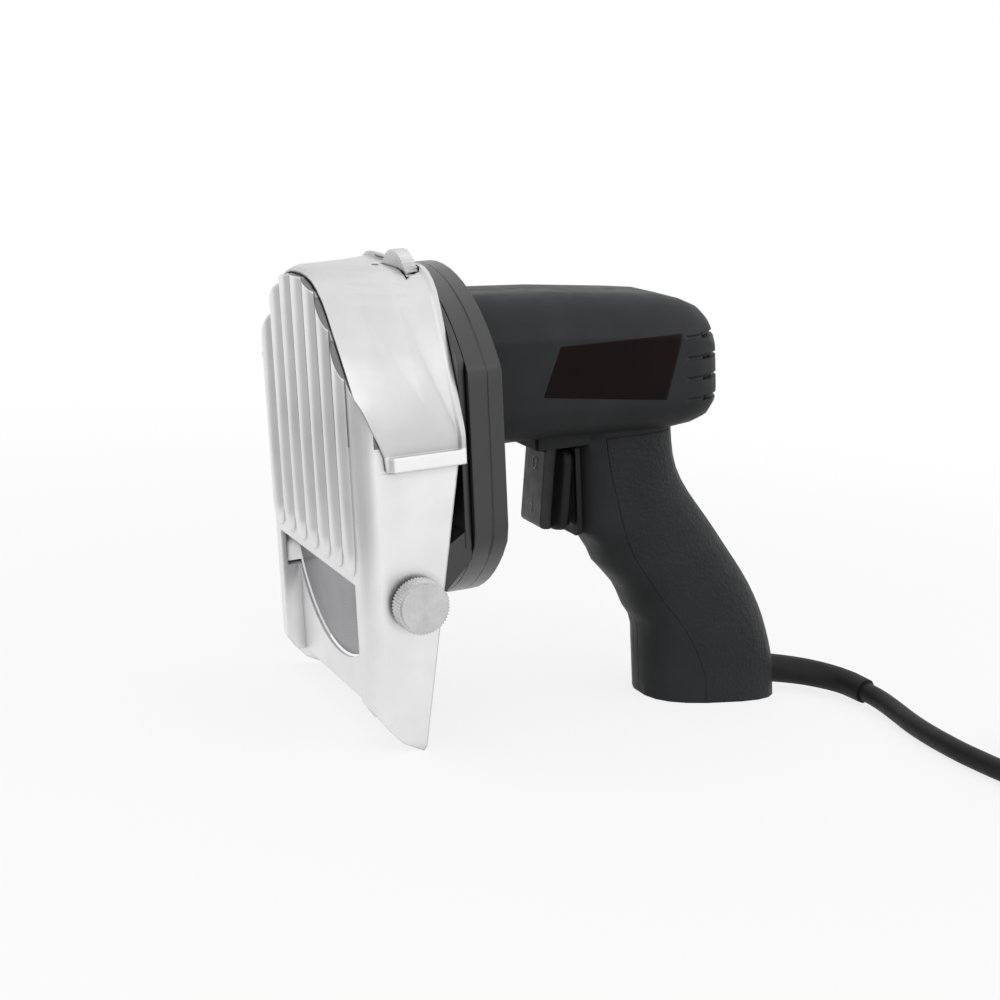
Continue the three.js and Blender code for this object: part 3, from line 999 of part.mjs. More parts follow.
add('mains_plug', cutAll(plugBody, pinHoles), blackPlastic, ground);
pinPlaces.forEach((y, i) => {
  add(`plug_pin_${i + 1}`, rodX(pinStart, pinStart + 6 + PLUG_PIN_LENGTH, y, plugPinZ, PLUG_PIN_RADIUS),
    brass, ground);
});

const part = new THREE.Group();
part.name = 'electric_kebab_slicer';
part.add(tool, ground);

export default part;
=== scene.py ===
"""Looks of the electric kebab slicer: camera, cord, surfaces, markings, light."""

import math

import bpy
from mathutils import Matrix, Vector
from mathutils.bvhtree import BVHTree


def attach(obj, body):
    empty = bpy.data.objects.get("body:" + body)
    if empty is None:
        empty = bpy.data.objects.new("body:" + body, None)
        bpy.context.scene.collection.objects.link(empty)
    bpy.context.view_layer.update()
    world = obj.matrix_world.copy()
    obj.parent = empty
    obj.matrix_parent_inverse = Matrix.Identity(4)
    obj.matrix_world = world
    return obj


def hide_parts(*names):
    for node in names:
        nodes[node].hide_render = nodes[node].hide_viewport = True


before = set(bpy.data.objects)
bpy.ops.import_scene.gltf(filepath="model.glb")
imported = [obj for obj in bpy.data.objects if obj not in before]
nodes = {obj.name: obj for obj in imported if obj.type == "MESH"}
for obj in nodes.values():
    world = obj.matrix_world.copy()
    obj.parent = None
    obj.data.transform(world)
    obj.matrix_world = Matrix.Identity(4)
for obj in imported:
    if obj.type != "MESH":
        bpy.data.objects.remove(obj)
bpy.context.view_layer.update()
scene = bpy.context.scene

# Lengths below are in millimetres unless a comment says metres
MM = 0.001

# The tool's own frame: x to the rear, y to the far side, z up, origin in the gear case
STANCE = math.radians(8)
TOOL_ORIGIN = Vector((-116.176, 0, 108.104)) * MM
TOOL_TO_WORLD = Matrix.Translation(TOOL_ORIGIN) @ Matrix.Rotation(-STANCE, 4, "Y")
TOOL_TURN = TOOL_TO_WORLD.to_3x3()

# Camera
CAMERA_PLACE = Vector((-386.452, -654.667, 216.707)) * MM
CAMERA_ANGLES = (78.862, -4.901, -23.377)
CAMERA_LENS = 72
CAMERA_SENSOR = 36

# Cord on the table
CORD_RADIUS = 3.8
CORD_ROUTE = [(59.3, -27.6, 5.78), (60.3, -37, 5.2), (60, -45, 4.7), (59, -53.5, 4.3), (57.6, -62, 4.1),
              (56.5, -71, 4), (55.8, -80, 4), (55.6, -89, 4), (55.8, -98, 4), (56.5, -105.5, 4),
              (57.4, -113, 4), (58.6, -120, 4), (59.8, -127, 4), (60.7, -133, 4)]
COIL_CENTRE = (116, -139)
COIL_RADIUS = 42.6
COIL_GAP = 0.6
COIL_FLOOR_LEVEL = 4
COIL_STEPS = 18
COIL_SHIFT = math.radians(60)
PLUG_BACK = 10
PLUG_INSET = 4.5
PLUG_AXIS_HEIGHT = 30.1
PLUG_SEAT = 3
LEAD_STEPS = 5
LEAD_ANGLE = math.radians(15)
LEAD_SLANT = 0.1
TIE_ANGLE = math.radians(35)
TIE_WIDTH = 9
TIE_SLACK = 0.3
TIE_LIFT = 0.35
TIE_THICKNESS = 0.3

# Marks on the surfaces, in the tool's frame
SEAM_LINE = [(-13, 57.0), (-26, 58.4), (-37.6, 60.7), (-53.3, 64.3), (-74.7, 75.8), (-98.4, 90.6),
             (-113, 95.5)]
SEAM_WIDTH = 0.45
SEAM_DEPTH = 0.4
GRAIN_TOP = -14.2
GRAIN_EDGE = 0.6
GRAIN_DEPTH = 0.28
GRAIN_CELLS = 1200
CASE_JOINT = -4.5
CASE_JOINT_WIDTH = 0.5
VENT_TOP = 20.8
VENT_PITCH = 7.6
VENT_START = 87
VENT_BELOW_TOP = 3.5
VENT_FLAT = 0.3
VENT_SLOPE = 0.7
VENT_FADE = 1.5
VENT_DEPTH = 0.9
# Painted shade on the ends of the guard's ribs: faces above this height that look across the x axis
RIB_SHADE_ABOVE = 2
RIB_SHADE_FACING = 0.3
# Painted highlight on the lip of the blade cover, below this height
LIP_HIGHLIGHT_TOP = -0.6
BLADE_AXIS_HEIGHT = -32
RING_DENSITY = 300

# Label film on the near side of the barrel
LABEL_CORNERS = [(35.2, 23.6), (84.6, 22.9), (76.9, -0.4), (27.9, 6.3)]
LABEL_THICKNESS = 0.35
LABEL_LIFT = 0.08
LABEL_COLUMNS = 48
LABEL_ROWS = 36
BESIDE_TOOL = -60
ABOVE_TOOL = 90

# Rocker, with its legends and its cuff, seen from its pivot
ROCKER_PIVOT = Vector((42.6, 0, -32.6))
ROCKER_TILT = math.radians(7)
ROCKER_FACE = -8.2
LEGEND_PROUD = 0.02
LEGEND_RISE = 8.6
LEGEND_WIDTH = 0.6
OFF_RADII = (1.6, 2.2)
OFF_STEPS = 24
ON_HALF = 2
CUFF_ROWS = [(-3.9, 8.0, 14.2), (-3.5, 8.9, 14.6), (-2.9, 10.2, 14.9), (-2.2, 12.1, 15.1), (-1.5, 12.9, 15.2),
             (-0.9, 12.75, 15.05), (-0.3, 13.0, 15.25), (0.3, 12.8, 15.05), (0.8, 13.0, 15.2)]
CUFF_SIDES = 40
CUFF_SQUARENESS = 0.3
CUFF_THICKNESS = 0.5

# Scale on the blade cover
SCALE_WIDTH = 0.4
ZERO_CENTRE = (-24.6, -7.5)
ZERO_RADII = (1.0, 1.5)
ZERO_STEPS = 20
SCALE_LINE_X = -15.8
SCALE_LINE_Y = (8, 11, 14, 17)

# Smoothing of the solids
SMOOTH_ANGLE = math.radians(38)
WELD_DISTANCE = 0.02
EVEN_SHADING = ("ribbed_guard", "gear_case", "handle_left", "handle_right")

# Studio, in metres
MIDDLE = (-0.06, 0, 0.09)
AMBIENT = 0.6
FLOOR_HALF = 30
FLOOR_PALE = (0.93, 0.93, 0.93, 1)
FADE_START = 0.2
FADE_END = 0.75
FADE_LEAST = 0.8
CARD_X = (-1.2, -0.28)
CARD_Y = (-0.7, 0.35)
CARD_HEIGHT = 0.002
CARD_GREY = 0.48


def tool_point(x, y, z):
    """A point of the tool's frame, in the scene."""
    return TOOL_TO_WORLD @ (Vector((x, y, z)) * MM)


def circle(steps):
    """Evenly spaced angles of a full turn."""
    return [i * math.tau / steps for i in range(steps)]


# Camera
camera_data = bpy.data.cameras.new("camera")
camera_data.lens = CAMERA_LENS
camera_data.sensor_width = CAMERA_SENSOR
camera = bpy.data.objects.new("camera", camera_data)
camera.location = CAMERA_PLACE
camera.rotation_euler = [math.radians(angle) for angle in CAMERA_ANGLES]
scene.collection.objects.link(camera)
scene.camera = camera


# Cord
def smooth(t):
    t = min(max(t, 0), 1)
    return t * t * (3 - 2 * t)


def on_coil(radius, angle, height):
    return COIL_CENTRE[0] - radius * math.cos(angle), COIL_CENTRE[1] - radius * math.sin(angle), height


def coil_points():
    """Two turns in each of three layers: inwards on the table, outwards on top of them, and inwards again."""
    pitch = 2 * CORD_RADIUS
    outer, inner = COIL_RADIUS + CORD_RADIUS, COIL_RADIUS - CORD_RADIUS
    radii = [outer + pitch + COIL_GAP, outer, inner, inner, outer, outer, inner]
    layers = [0, 0, 0, 1, 1, 2, 2]
    points = []
    for turn in range(len(radii) - 1):
        for angle in circle(COIL_STEPS):
            part = smooth(angle / COIL_SHIFT)
            radius = radii[turn] + (radii[turn + 1] - radii[turn]) * part
            layer = layers[turn] + (layers[turn + 1] - layers[turn]) * part
            points.append(on_coil(radius, angle, COIL_FLOOR_LEVEL + pitch * layer))
    return points


def plug_lead():
    """The last turn climbs over the coil and runs straight into the plug that lies on it."""
    low = COIL_FLOOR_LEVEL + 4 * CORD_RADIUS
    start, end = COIL_RADIUS - CORD_RADIUS, COIL_RADIUS - PLUG_INSET
    points = []
    for step in range(LEAD_STEPS):
        part = smooth(step / LEAD_STEPS)
        radius = start + (end - start) * part
        points.append(on_coil(radius, step * LEAD_ANGLE, low + (PLUG_AXIS_HEIGHT - low) * part))
    neck = COIL_CENTRE[0] - PLUG_BACK
    points.append((neck - PLUG_SEAT, COIL_CENTRE[1] - end + LEAD_SLANT, PLUG_AXIS_HEIGHT))
    points.append((neck + PLUG_SEAT, COIL_CENTRE[1] - end, PLUG_AXIS_HEIGHT))
    return points


route = CORD_ROUTE + coil_points() + plug_lead()
cord_curve = bpy.data.curves.new("cord", "CURVE")
cord_curve.dimensions = "3D"
cord_curve.bevel_depth = 1
cord_curve.bevel_resolution = 4
cord_curve.resolution_u = 6
cord_curve.use_fill_caps = True
spline = cord_curve.splines.new("BEZIER")
spline.bezier_points.add(len(route) - 1)
for bezier, point in zip(spline.bezier_points, route):
    bezier.co = Vector(point) * MM
    bezier.radius = CORD_RADIUS * MM
    bezier.handle_left_type = "AUTO"
    bezier.handle_right_type = "AUTO"
cord = bpy.data.objects.new("cord", cord_curve)
scene.collection.objects.link(cord)
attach(cord, "tool")
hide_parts("mains_cord", "cord_coil")


# Surfaces
class Surface:
    """A procedural material, built up from a plain shader by its methods."""

    def __init__(self, name, colour, roughness, metallic=0.0):
        self.material = bpy.data.materials.new(name)
        self.material.use_nodes = True
        self.tree = self.material.node_tree
        self.shader = self.tree.nodes["Principled BSDF"]
        self.shader.inputs["Base Color"].default_value = (*colour, 1)
        self.shader.inputs["Roughness"].default_value = roughness
        self.shader.inputs["Metallic"].default_value = metallic
        self.colour = colour
        self.roughness = roughness
        self.normal = None
        place = self.node("ShaderNodeTexCoord")
        into_tool = self.node("ShaderNodeMapping")
        into_tool.vector_type = "TEXTURE"
        into_tool.inputs["Location"].default_value = TOOL_ORIGIN
        into_tool.inputs["Rotation"].default_value = (0, -STANCE, 0)
        self.join(place.outputs["Object"], into_tool.inputs["Vector"])
        self.place = into_tool.outputs["Vector"]

    def node(self, kind):
        return self.tree.nodes.new(kind)

    def join(self, source, target):
        self.tree.links.new(source, target)

    def feed(self, source, target):
        """Put a number or another node's output into a socket."""
        if isinstance(source, bpy.types.NodeSocket):
            self.join(source, target)
        else:
            target.default_value = source

    def math(self, operation, first, second=0.0, clamp=False):
        made = self.node("ShaderNodeMath")
        made.operation = operation
        made.use_clamp = clamp
        self.feed(first, made.inputs[0])
        self.feed(second, made.inputs[1])
        return made.outputs[0]

    def vector(self, operation, first, second=None):
        made = self.node("ShaderNodeVectorMath")
        made.operation = operation
        self.join(first, made.inputs[0])
        if second is not None:
            self.feed(second, made.inputs["Scale"] if operation == "SCALE" else made.inputs[1])
        return made.outputs["Value"] if operation == "DOT_PRODUCT" else made.outputs["Vector"]

    def axes(self):
        """The x and z of the place in the tool's frame, in metres."""
        made = self.node("ShaderNodeSeparateXYZ")
        self.join(self.place, made.inputs["Vector"])
        return made.outputs["X"], made.outputs["Z"]

    def true_normal(self):
        return self.node("ShaderNodeNewGeometry").outputs["True Normal"]

    def stretched(self, scale, middle=(0, 0, 0)):
        made = self.node("ShaderNodeMapping")
        made.inputs["Location"].default_value = [-m * s * MM for m, s in zip(middle, scale)]
        made.inputs["Scale"].default_value = scale
        self.join(self.place, made.inputs["Vector"])
        return made.outputs["Vector"]

    def noise(self, size, detail=3.0, stretch=(1, 1, 1)):
        """Noise with lumps of about this many millimetres, drawn out along the axes by stretch."""
        made = self.node("ShaderNodeTexNoise")
        made.inputs["Scale"].default_value = 1
        made.inputs["Detail"].default_value = detail
        frequency = 1 / (size * MM)
        self.join(self.stretched([frequency / s for s in stretch]), made.inputs["Vector"])
        return made.outputs["Fac"]

    def ramp(self, source, low, high):
        """The middle of a noise's span, spread from low to high."""
        made = self.node("ShaderNodeMapRange")
        made.inputs["From Min"].default_value = 0.3
        made.inputs["From Max"].default_value = 0.7
        made.inputs["To Min"].default_value = low
        made.inputs["To Max"].default_value = high
        self.join(source, made.inputs["Value"])
        return made.outputs["Result"]

    def shade(self, source, spread):
        """Let the colour wander by a share of itself."""
        made = self.node("ShaderNodeMix")
        made.data_type = "RGBA"
        made.inputs["A"].default_value = (*[c * (1 - spread) for c in self.colour], 1)
        made.inputs["B"].default_value = (*[min(c * (1 + spread), 1) for c in self.colour], 1)
        self.join(self.ramp(source, 0, 1), made.inputs["Factor"])
        self.join(made.outputs["Result"], self.shader.inputs["Base Color"])

    def tint(self, source, share):
        """Multiply the colour by this share where the source is 1."""
        made = self.node("ShaderNodeMix")
        made.data_type = "RGBA"
        made.inputs["B"].default_value = (*[c * share for c in self.colour], 1)
        self.join(source, made.inputs["Factor"])
        self.join(self.shader.inputs["Base Color"].links[0].from_socket, made.inputs["A"])
        self.join(made.outputs["Result"], self.shader.inputs["Base Color"])

    def crevices(self, reach, strength, share):
        """Dark in the narrow places that light hardly reaches."""
        made = self.node("ShaderNodeAmbientOcclusion")
        made.samples = 6
        made.inputs["Distance"].default_value = reach * MM
        closed = self.math("SUBTRACT", 1.0, made.outputs["AO"])
        self.tint(self.math("MULTIPLY", closed, strength, True), share)

    def gloss(self, source, spread):
        """Let the roughness wander to both sides of its value."""
        rough = self.ramp(source, self.roughness - spread, self.roughness + spread)
        self.join(rough, self.shader.inputs["Roughness"])

    def face(self, normal):
        self.normal = normal
        self.join(normal, self.shader.inputs["Normal"])

    def soft_edges(self, radius):
        made = self.node("ShaderNodeBevel")
        made.samples = 4
        made.inputs["Radius"].default_value = radius * MM
        self.face(made.outputs["Normal"])

    def rounded(self, share, low, high):
        """Between two heights, turn the shading normal by this share away from the tool's x axis."""
        turned = self.node("ShaderNodeVectorRotate")
        turned.rotation_type = "Y_AXIS"
        turned.inputs["Angle"].default_value = -STANCE
        self.join(self.vector("MULTIPLY", self.place, (0, 1, 1)), turned.inputs["Vector"])
        away = self.vector("NORMALIZE", turned.outputs["Vector"])
        facing = self.vector("DOT_PRODUCT", away, self.true_normal())
        height = self.node("ShaderNodeMapRange")
        height.inputs["From Min"].default_value = low * MM
        height.inputs["From Max"].default_value = high * MM
        height.inputs["To Max"].default_value = share
        self.join(self.axes()[1], height.inputs["Value"])
        weight = self.math("MULTIPLY", facing, height.outputs["Result"])
        kept = self.math("SUBTRACT", 1.0, self.math("ABSOLUTE", weight))
        turned_part = self.vector("SCALE", away, weight)
        kept_part = self.vector("SCALE", self.normal, kept)
        self.face(self.vector("NORMALIZE", self.vector("ADD", turned_part, kept_part)))

    def bump(self, source, depth, strength=1.0):
        made = self.node("ShaderNodeBump")
        made.inputs["Distance"].default_value = depth * MM
        self.feed(strength, made.inputs["Strength"])
        self.join(source, made.inputs["Height"])
        if self.normal is not None:
            self.join(self.normal, made.inputs["Normal"])
        self.face(made.outputs["Normal"])


def brushed_sheet(name, colour, roughness):
    """The start of a surface of brushed sheet steel."""
    made = Surface(name, colour, roughness, metallic=1.0)
    made.soft_edges(1.1)
    made.shade(made.noise(18), 0.05)
    return made


def finish_and_shade_sheet(made):
    """Painted shade in the crevices, brush marks and slight dents of a sheet."""
    # Painted shade: ambient occlusion darkens the colour in the crevices
    made.crevices(reach=4, strength=0.9, share=0.35)
    made.gloss(made.noise(9, 4, stretch=(1, 1, 3)), 0.05)
    made.bump(made.noise(0.25, 2, stretch=(1, 1, 40)), 0.006)
    made.bump(made.noise(26, 1), 0.07)
    return made.material


def domed_sheet(name, colour, roughness):
    """Sheet of the blade cover, evenly round above its lip, which gets a painted highlight."""
    made = brushed_sheet(name, colour, roughness)
    made.rounded(share=0.85, low=1, high=10)
    # Painted highlight: the lip's colour is made half again as bright
    made.tint(made.math("LESS_THAN", made.axes()[1], LIP_HIGHLIGHT_TOP * MM), share=1.5)
    return finish_and_shade_sheet(made)


def ribbed_sheet(name, colour, roughness):
    """Sheet of the guard, with painted shade on the ends of its ribs: faces that look across the x axis."""
    made = brushed_sheet(name, colour, roughness)
    facing = made.vector("DOT_PRODUCT", made.true_normal(), TOOL_TURN @ Vector((1, 0, 0)))
    aside = made.math("LESS_THAN", made.math("ABSOLUTE", facing), RIB_SHADE_FACING)
    raised = made.math("GREATER_THAN", made.axes()[1], RIB_SHADE_ABOVE * MM)
    # Painted shade: the rib ends are coloured at a fifth of the sheet's colour
    made.tint(made.math("MULTIPLY", aside, raised), share=0.2)
    return finish_and_shade_sheet(made)


def turned_steel(name, colour, roughness):
    """Turned parts, with their marks round the y axis."""
    made = Surface(name, colour, roughness, metallic=1.0)
    made.soft_edges(0.25)
    made.shade(made.noise(2.5), 0.04)
    made.gloss(made.noise(1.2), 0.05)
    made.bump(made.noise(0.3, 2), 0.002)
    made.shader.inputs["Anisotropic"].default_value = 0.8
    around = made.node("ShaderNodeTangent")
    around.direction_type = "RADIAL"
    around.axis = "Y"
    made.join(around.outputs["Tangent"], made.shader.inputs["Tangent"])
    return made.material


def ground_blade(name, colour, roughness):
    """Fine rings round the blade's own axis."""
    made = Surface(name, colour, roughness, metallic=1.0)
    rings = made.node("ShaderNodeTexWave")
    rings.wave_type = "RINGS"
    rings.rings_direction = "X"
    rings.inputs["Scale"].default_value = 1
    rings.inputs["Distortion"].default_value = 6
    rings.inputs["Detail"].default_value = 4
    made.join(made.stretched([RING_DENSITY] * 3, (0, 0, BLADE_AXIS_HEIGHT)), rings.inputs["Vector"])
    made.shade(made.noise(14), 0.08)
    made.gloss(rings.outputs["Fac"], 0.03)
    made.bump(rings.outputs["Fac"], 0.001)
    return made.material


def plain(name, colour, roughness, metallic=0.0, grain=0.6, depth=0.02, edge=0.4, specular=0.5):
    made = Surface(name, colour, roughness, metallic)
    made.shader.inputs["Specular IOR Level"].default_value = specular
    made.soft_edges(edge)
    made.shade(made.noise(12), 0.1)
    made.gloss(made.noise(5), 0.06)
    made.bump(made.noise(grain, 2), depth)
    return made.material


def case_plastic(name, colour, roughness):
    """Glossy, with the joint of the case's front ring as a groove all round."""
    made = Surface(name, colour, roughness)
    made.shader.inputs["Specular IOR Level"].default_value = 0.8
    made.soft_edges(0.8)
    made.shade(made.noise(12), 0.05)
    made.gloss(made.noise(5), 0.02)
    away = made.math("ABSOLUTE", made.math("SUBTRACT", made.axes()[0], CASE_JOINT * MM))
    made.bump(made.math("DIVIDE", away, CASE_JOINT_WIDTH * MM, True), 0.5)
    made.bump(made.noise(0.9, 2), 0.01)
    return made.material


def seam_distance(made, x, z):
    """How far a place lies behind the curved seam of the grip."""
    low, high = SEAM_LINE[-1][0], SEAM_LINE[0][0]
    least, most = SEAM_LINE[0][1], SEAM_LINE[-1][1]
    curve = made.node("ShaderNodeFloatCurve")
    points = curve.mapping.curves[0].points
    for height, across in SEAM_LINE[1:-1]:
        points.new((height - low) / (high - low), (across - least) / (most - least))
    points[0].location = (0, 1)
    points[-1].location = (1, 0)
    curve.mapping.update()
    height = made.math("DIVIDE", made.math("SUBTRACT", z, low * MM), (high - low) * MM, True)
    made.join(height, curve.inputs["Value"])
    line = made.math("ADD", made.math("MULTIPLY", curve.outputs["Value"], (most - least) * MM), least * MM)
    return made.math("SUBTRACT", x, line)


def leather_cells(made):
    """Uneven cells of a leather grain."""
    leather = made.node("ShaderNodeTexVoronoi")
    leather.feature = "SMOOTH_F1"
    leather.inputs["Scale"].default_value = 1
    leather.inputs["Smoothness"].default_value = 0.35
    wander = made.node("ShaderNodeMix")
    wander.data_type = "VECTOR"
    wander.inputs["Factor"].default_value = 0.35
    swirl = made.node("ShaderNodeTexNoise")
    swirl.inputs["Scale"].default_value = 1.1
    cells = made.stretched([GRAIN_CELLS] * 3)
    made.join(cells, swirl.inputs["Vector"])
    made.join(cells, wander.inputs["A"])
    made.join(swirl.outputs["Color"], wander.inputs["B"])
    made.join(wander.outputs["Result"], leather.inputs["Vector"])
    return leather.outputs["Distance"]


def vent_lines(made, x, z):
    """0 in the vent lines at the rear of the barrel and 1 everywhere else."""
    nearest = made.math("PINGPONG", made.math("SUBTRACT", z, VENT_TOP * MM), VENT_PITCH / 2 * MM)
    line = made.math("DIVIDE", made.math("SUBTRACT", nearest, VENT_FLAT * MM), VENT_SLOPE * MM, True)
    ahead = made.math("DIVIDE", made.math("SUBTRACT", VENT_START * MM, x), VENT_FADE * MM, True)
    above = made.math("GREATER_THAN", z, (VENT_TOP + VENT_PITCH / 2) * MM)
    under = made.math("LESS_THAN", z, (VENT_TOP - VENT_BELOW_TOP * VENT_PITCH) * MM)
    elsewhere = made.math("MAXIMUM", ahead, made.math("MAXIMUM", above, under))
    return made.math("MAXIMUM", line, elsewhere)


def grip_plastic(name, colour, roughness):
    """Fine moulded texture, with a leather grain on the grip behind a curved line."""
    made = Surface(name, colour, roughness)
    made.shader.inputs["Specular IOR Level"].default_value = 0.14
    made.soft_edges(0.9)
    made.shade(made.noise(20), 0.12)
    x, z = made.axes()
    below = made.math("SUBTRACT", GRAIN_TOP * MM, z)
    inside = made.math("MINIMUM", seam_distance(made, x, z), below)
    zone = made.math("DIVIDE", made.math("ADD", inside, GRAIN_EDGE / 2 * MM), GRAIN_EDGE * MM, True)
    groove = made.math("DIVIDE", made.math("ABSOLUTE", inside), SEAM_WIDTH * MM, True)
    made.gloss(made.noise(6), 0.05)
    made.bump(made.noise(0.5, 2), 0.025)
    made.bump(leather_cells(made), GRAIN_DEPTH, zone)
    made.bump(groove, SEAM_DEPTH)
    made.bump(vent_lines(made, x, z), VENT_DEPTH)
    return made.material


DOMED = domed_sheet("domed_steel", (0.6, 0.6, 0.605), 0.33)
RIBBED = ribbed_sheet("ribbed_steel", (0.82, 0.82, 0.825), 0.33)
TURNED = turned_steel("bright_steel", (0.58, 0.58, 0.58), 0.3)
BLADE = ground_blade("blade_steel", (0.29, 0.29, 0.3), 0.36)
GEAR = plain("gear_steel", (0.55, 0.56, 0.58), 0.35, metallic=1.0, depth=0.01)
CASE = case_plastic("black_case", (0.013, 0.013, 0.014), 0.3)
HANDLE = grip_plastic("black_handle", (0.034, 0.035, 0.037), 0.5)
GLOSS = plain("black_gloss", (0.02, 0.02, 0.021), 0.38, grain=0.8, depth=0.01, edge=0.8, specular=0.35)
RUBBER = plain("black_rubber", (0.011, 0.011, 0.012), 0.55, grain=0.4, depth=0.03, edge=0.6, specular=0.22)
LAMINATION = plain("lamination", (0.3, 0.31, 0.32), 0.5, metallic=0.8)
COPPER = plain("copper", (0.55, 0.3, 0.16), 0.4, metallic=1.0)
BRASS = plain("brass", (0.6, 0.47, 0.22), 0.35, metallic=1.0)
CARBON = plain("carbon", (0.06, 0.06, 0.06), 0.75)
LABEL = plain("label_film", (0.011, 0.006, 0.006), 0.35, grain=1.5, depth=0.006, edge=0.1, specular=0.06)
INK = plain("legend_ink", (0.7, 0.7, 0.71), 0.5, edge=0.05)
ETCH = plain("etched_mark", (0.2, 0.2, 0.2), 0.6, metallic=0.6, edge=0.05)

LOOKS = {
    "ribbed_guard": RIBBED, "blade_cover": DOMED, "blade": BLADE, "gear_case": CASE, "gear_case_plate": CASE,
    "handle_left": HANDLE, "handle_right": HANDLE, "switch_rocker": GLOSS, "switch_body": GLOSS,
    "switch_boot": RUBBER, "strain_relief": RUBBER, "mains_plug": RUBBER, "cord_clamp": RUBBER,
    "lock_knob": TURNED, "lock_washer": TURNED, "thickness_wheel": TURNED, "armature_core": LAMINATION,
    "stator_core": LAMINATION, "winding_front": COPPER, "winding_rear": COPPER, "field_coil_1": COPPER,
    "field_coil_2": COPPER, "commutator": COPPER, "cooling_fan": GLOSS, "plug_pin_1": BRASS,
    "plug_pin_2": BRASS, "brush_holder_1": BRASS, "brush_holder_2": BRASS, "carbon_brush_1": CARBON,
    "carbon_brush_2": CARBON, "spindle_seal": RUBBER, "intermediate_bush": BRASS,
}


def wear(thing, material):
    thing.data.materials.clear()
    thing.data.materials.append(material)


def smooth_faces(thing):
    thing.data.polygons.foreach_set("use_smooth", [True] * len(thing.data.polygons))


for name, thing in nodes.items():
    wear(thing, LOOKS.get(name, GEAR))
    weld = thing.modifiers.new("weld", "WELD")
    weld.merge_threshold = WELD_DISTANCE * MM
    split = thing.modifiers.new("edges", "EDGE_SPLIT")
    split.split_angle = SMOOTH_ANGLE
    if name in EVEN_SHADING:
        weighted = thing.modifiers.new("normals", "WEIGHTED_NORMAL")
        weighted.mode = "FACE_AREA"
        weighted.weight = 50
    smooth_faces(thing)
wear(cord, RUBBER)


# Pieces that are laid on a solid
def surface_of(name):
    bpy.context.view_layer.update()
    return BVHTree.FromObject(nodes[name], bpy.context.evaluated_depsgraph_get())


def place_piece(name, data, material, body):
    piece = bpy.data.objects.new(name, data)
    scene.collection.objects.link(piece)
    wear(piece, material)
    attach(piece, body)
    return piece


def new_piece(name, corners, faces, material, body):
    mesh = bpy.data.meshes.new(name)
    mesh.from_pydata(corners, [], faces)
    mesh.update()
    return place_piece(name, mesh, material, body)


def thicken(piece, thickness, offset):
    thick = piece.modifiers.new("thickness", "SOLIDIFY")
    thick.thickness = thickness * MM
    thick.offset = offset


def label_plate():
    """A bare film on the near side of the barrel."""
    barrel = surface_of("handle_left")
    toward = (TOOL_TURN @ Vector((0, 1, 0))).normalized()
    top_left, top_right, low_right, low_left = [Vector((x, 0, z)) for x, z in LABEL_CORNERS]
    corners = []
    for row in range(LABEL_ROWS + 1):
        for column in range(LABEL_COLUMNS + 1):
            along, down = column / LABEL_COLUMNS, row / LABEL_ROWS
            spot = top_left.lerp(top_right, along).lerp(low_left.lerp(low_right, along), down)
            found = barrel.ray_cast(tool_point(spot.x, BESIDE_TOOL, spot.z), toward)
            corners.append(found[0] - toward * LABEL_LIFT * MM)
    wide = LABEL_COLUMNS + 1
    faces = [(r * wide + c, r * wide + c + 1, (r + 1) * wide + c + 1, (r + 1) * wide + c)
             for r in range(LABEL_ROWS) for c in range(LABEL_COLUMNS)]
    piece = new_piece("label_film", corners, faces, LABEL, "tool")
    thicken(piece, LABEL_THICKNESS, 1)
    smooth_faces(piece)


def drawn_line(name, points, width, material, body, closed=False):
    """A thin raised line through points of the tool's frame."""
    curve = bpy.data.curves.new(name, "CURVE")
    curve.dimensions = "3D"
    curve.bevel_depth = width / 2 * MM
    curve.bevel_resolution = 2
    line = curve.splines.new("POLY")
    line.points.add(len(points) - 1)
    for made, point in zip(line.points, points):
        made.co = (*tool_point(*point), 1)
    line.use_cyclic_u = closed
    place_piece(name, curve, material, body)


def from_rocker(back, across, up):
    """A point of the tool's frame, given from the rocker's pivot along the leaning rocker."""
    return ROCKER_PIVOT + Matrix.Rotation(ROCKER_TILT, 3, "Y") @ Vector((back, across, up))


def on_rocker(across, up):
    """A point on the rocker's pressed face, which leans with its top in."""
    return from_rocker(ROCKER_FACE - LEGEND_PROUD, across, up)


def legends():
    """A ring for off at the top of the rocker, and a stroke for on below."""
    ring = [on_rocker(OFF_RADII[0] * math.sin(a), LEGEND_RISE + OFF_RADII[1] * math.cos(a))
            for a in circle(OFF_STEPS)]
    stroke = [on_rocker(0, -LEGEND_RISE - ON_HALF), on_rocker(0, -LEGEND_RISE + ON_HALF)]
    drawn_line("legend_off", ring, LEGEND_WIDTH, INK, "rocker", True)
    drawn_line("legend_on", stroke, LEGEND_WIDTH, INK, "rocker")


def scale_marks():
    """A zero and a line on the top of the blade cover, beside the wheel."""
    cover = surface_of("blade_cover")
    into_tool = TOOL_TO_WORLD.inverted()
    down = (TOOL_TURN @ Vector((0, 0, -1))).normalized()

    def on_cover(x, y):
        return into_tool @ cover.ray_cast(tool_point(x, y, ABOVE_TOOL), down)[0] / MM

    zero = []
    for angle in circle(ZERO_STEPS):
        x = ZERO_CENTRE[0] + ZERO_RADII[0] * math.sin(angle)
        y = ZERO_CENTRE[1] + ZERO_RADII[1] * math.cos(angle)
        zero.append(on_cover(x, y))
    line = [on_cover(SCALE_LINE_X, y) for y in SCALE_LINE_Y]
    drawn_line("scale_zero", zero, SCALE_WIDTH, ETCH, "tool", True)
    drawn_line("scale_line", line, SCALE_WIDTH, ETCH, "tool")


def squared(value):
    """A sine or cosine, drawn toward 1 or -1, so that a round becomes a square with round corners."""
    return math.copysign(abs(value) ** CUFF_SQUARENESS, value)


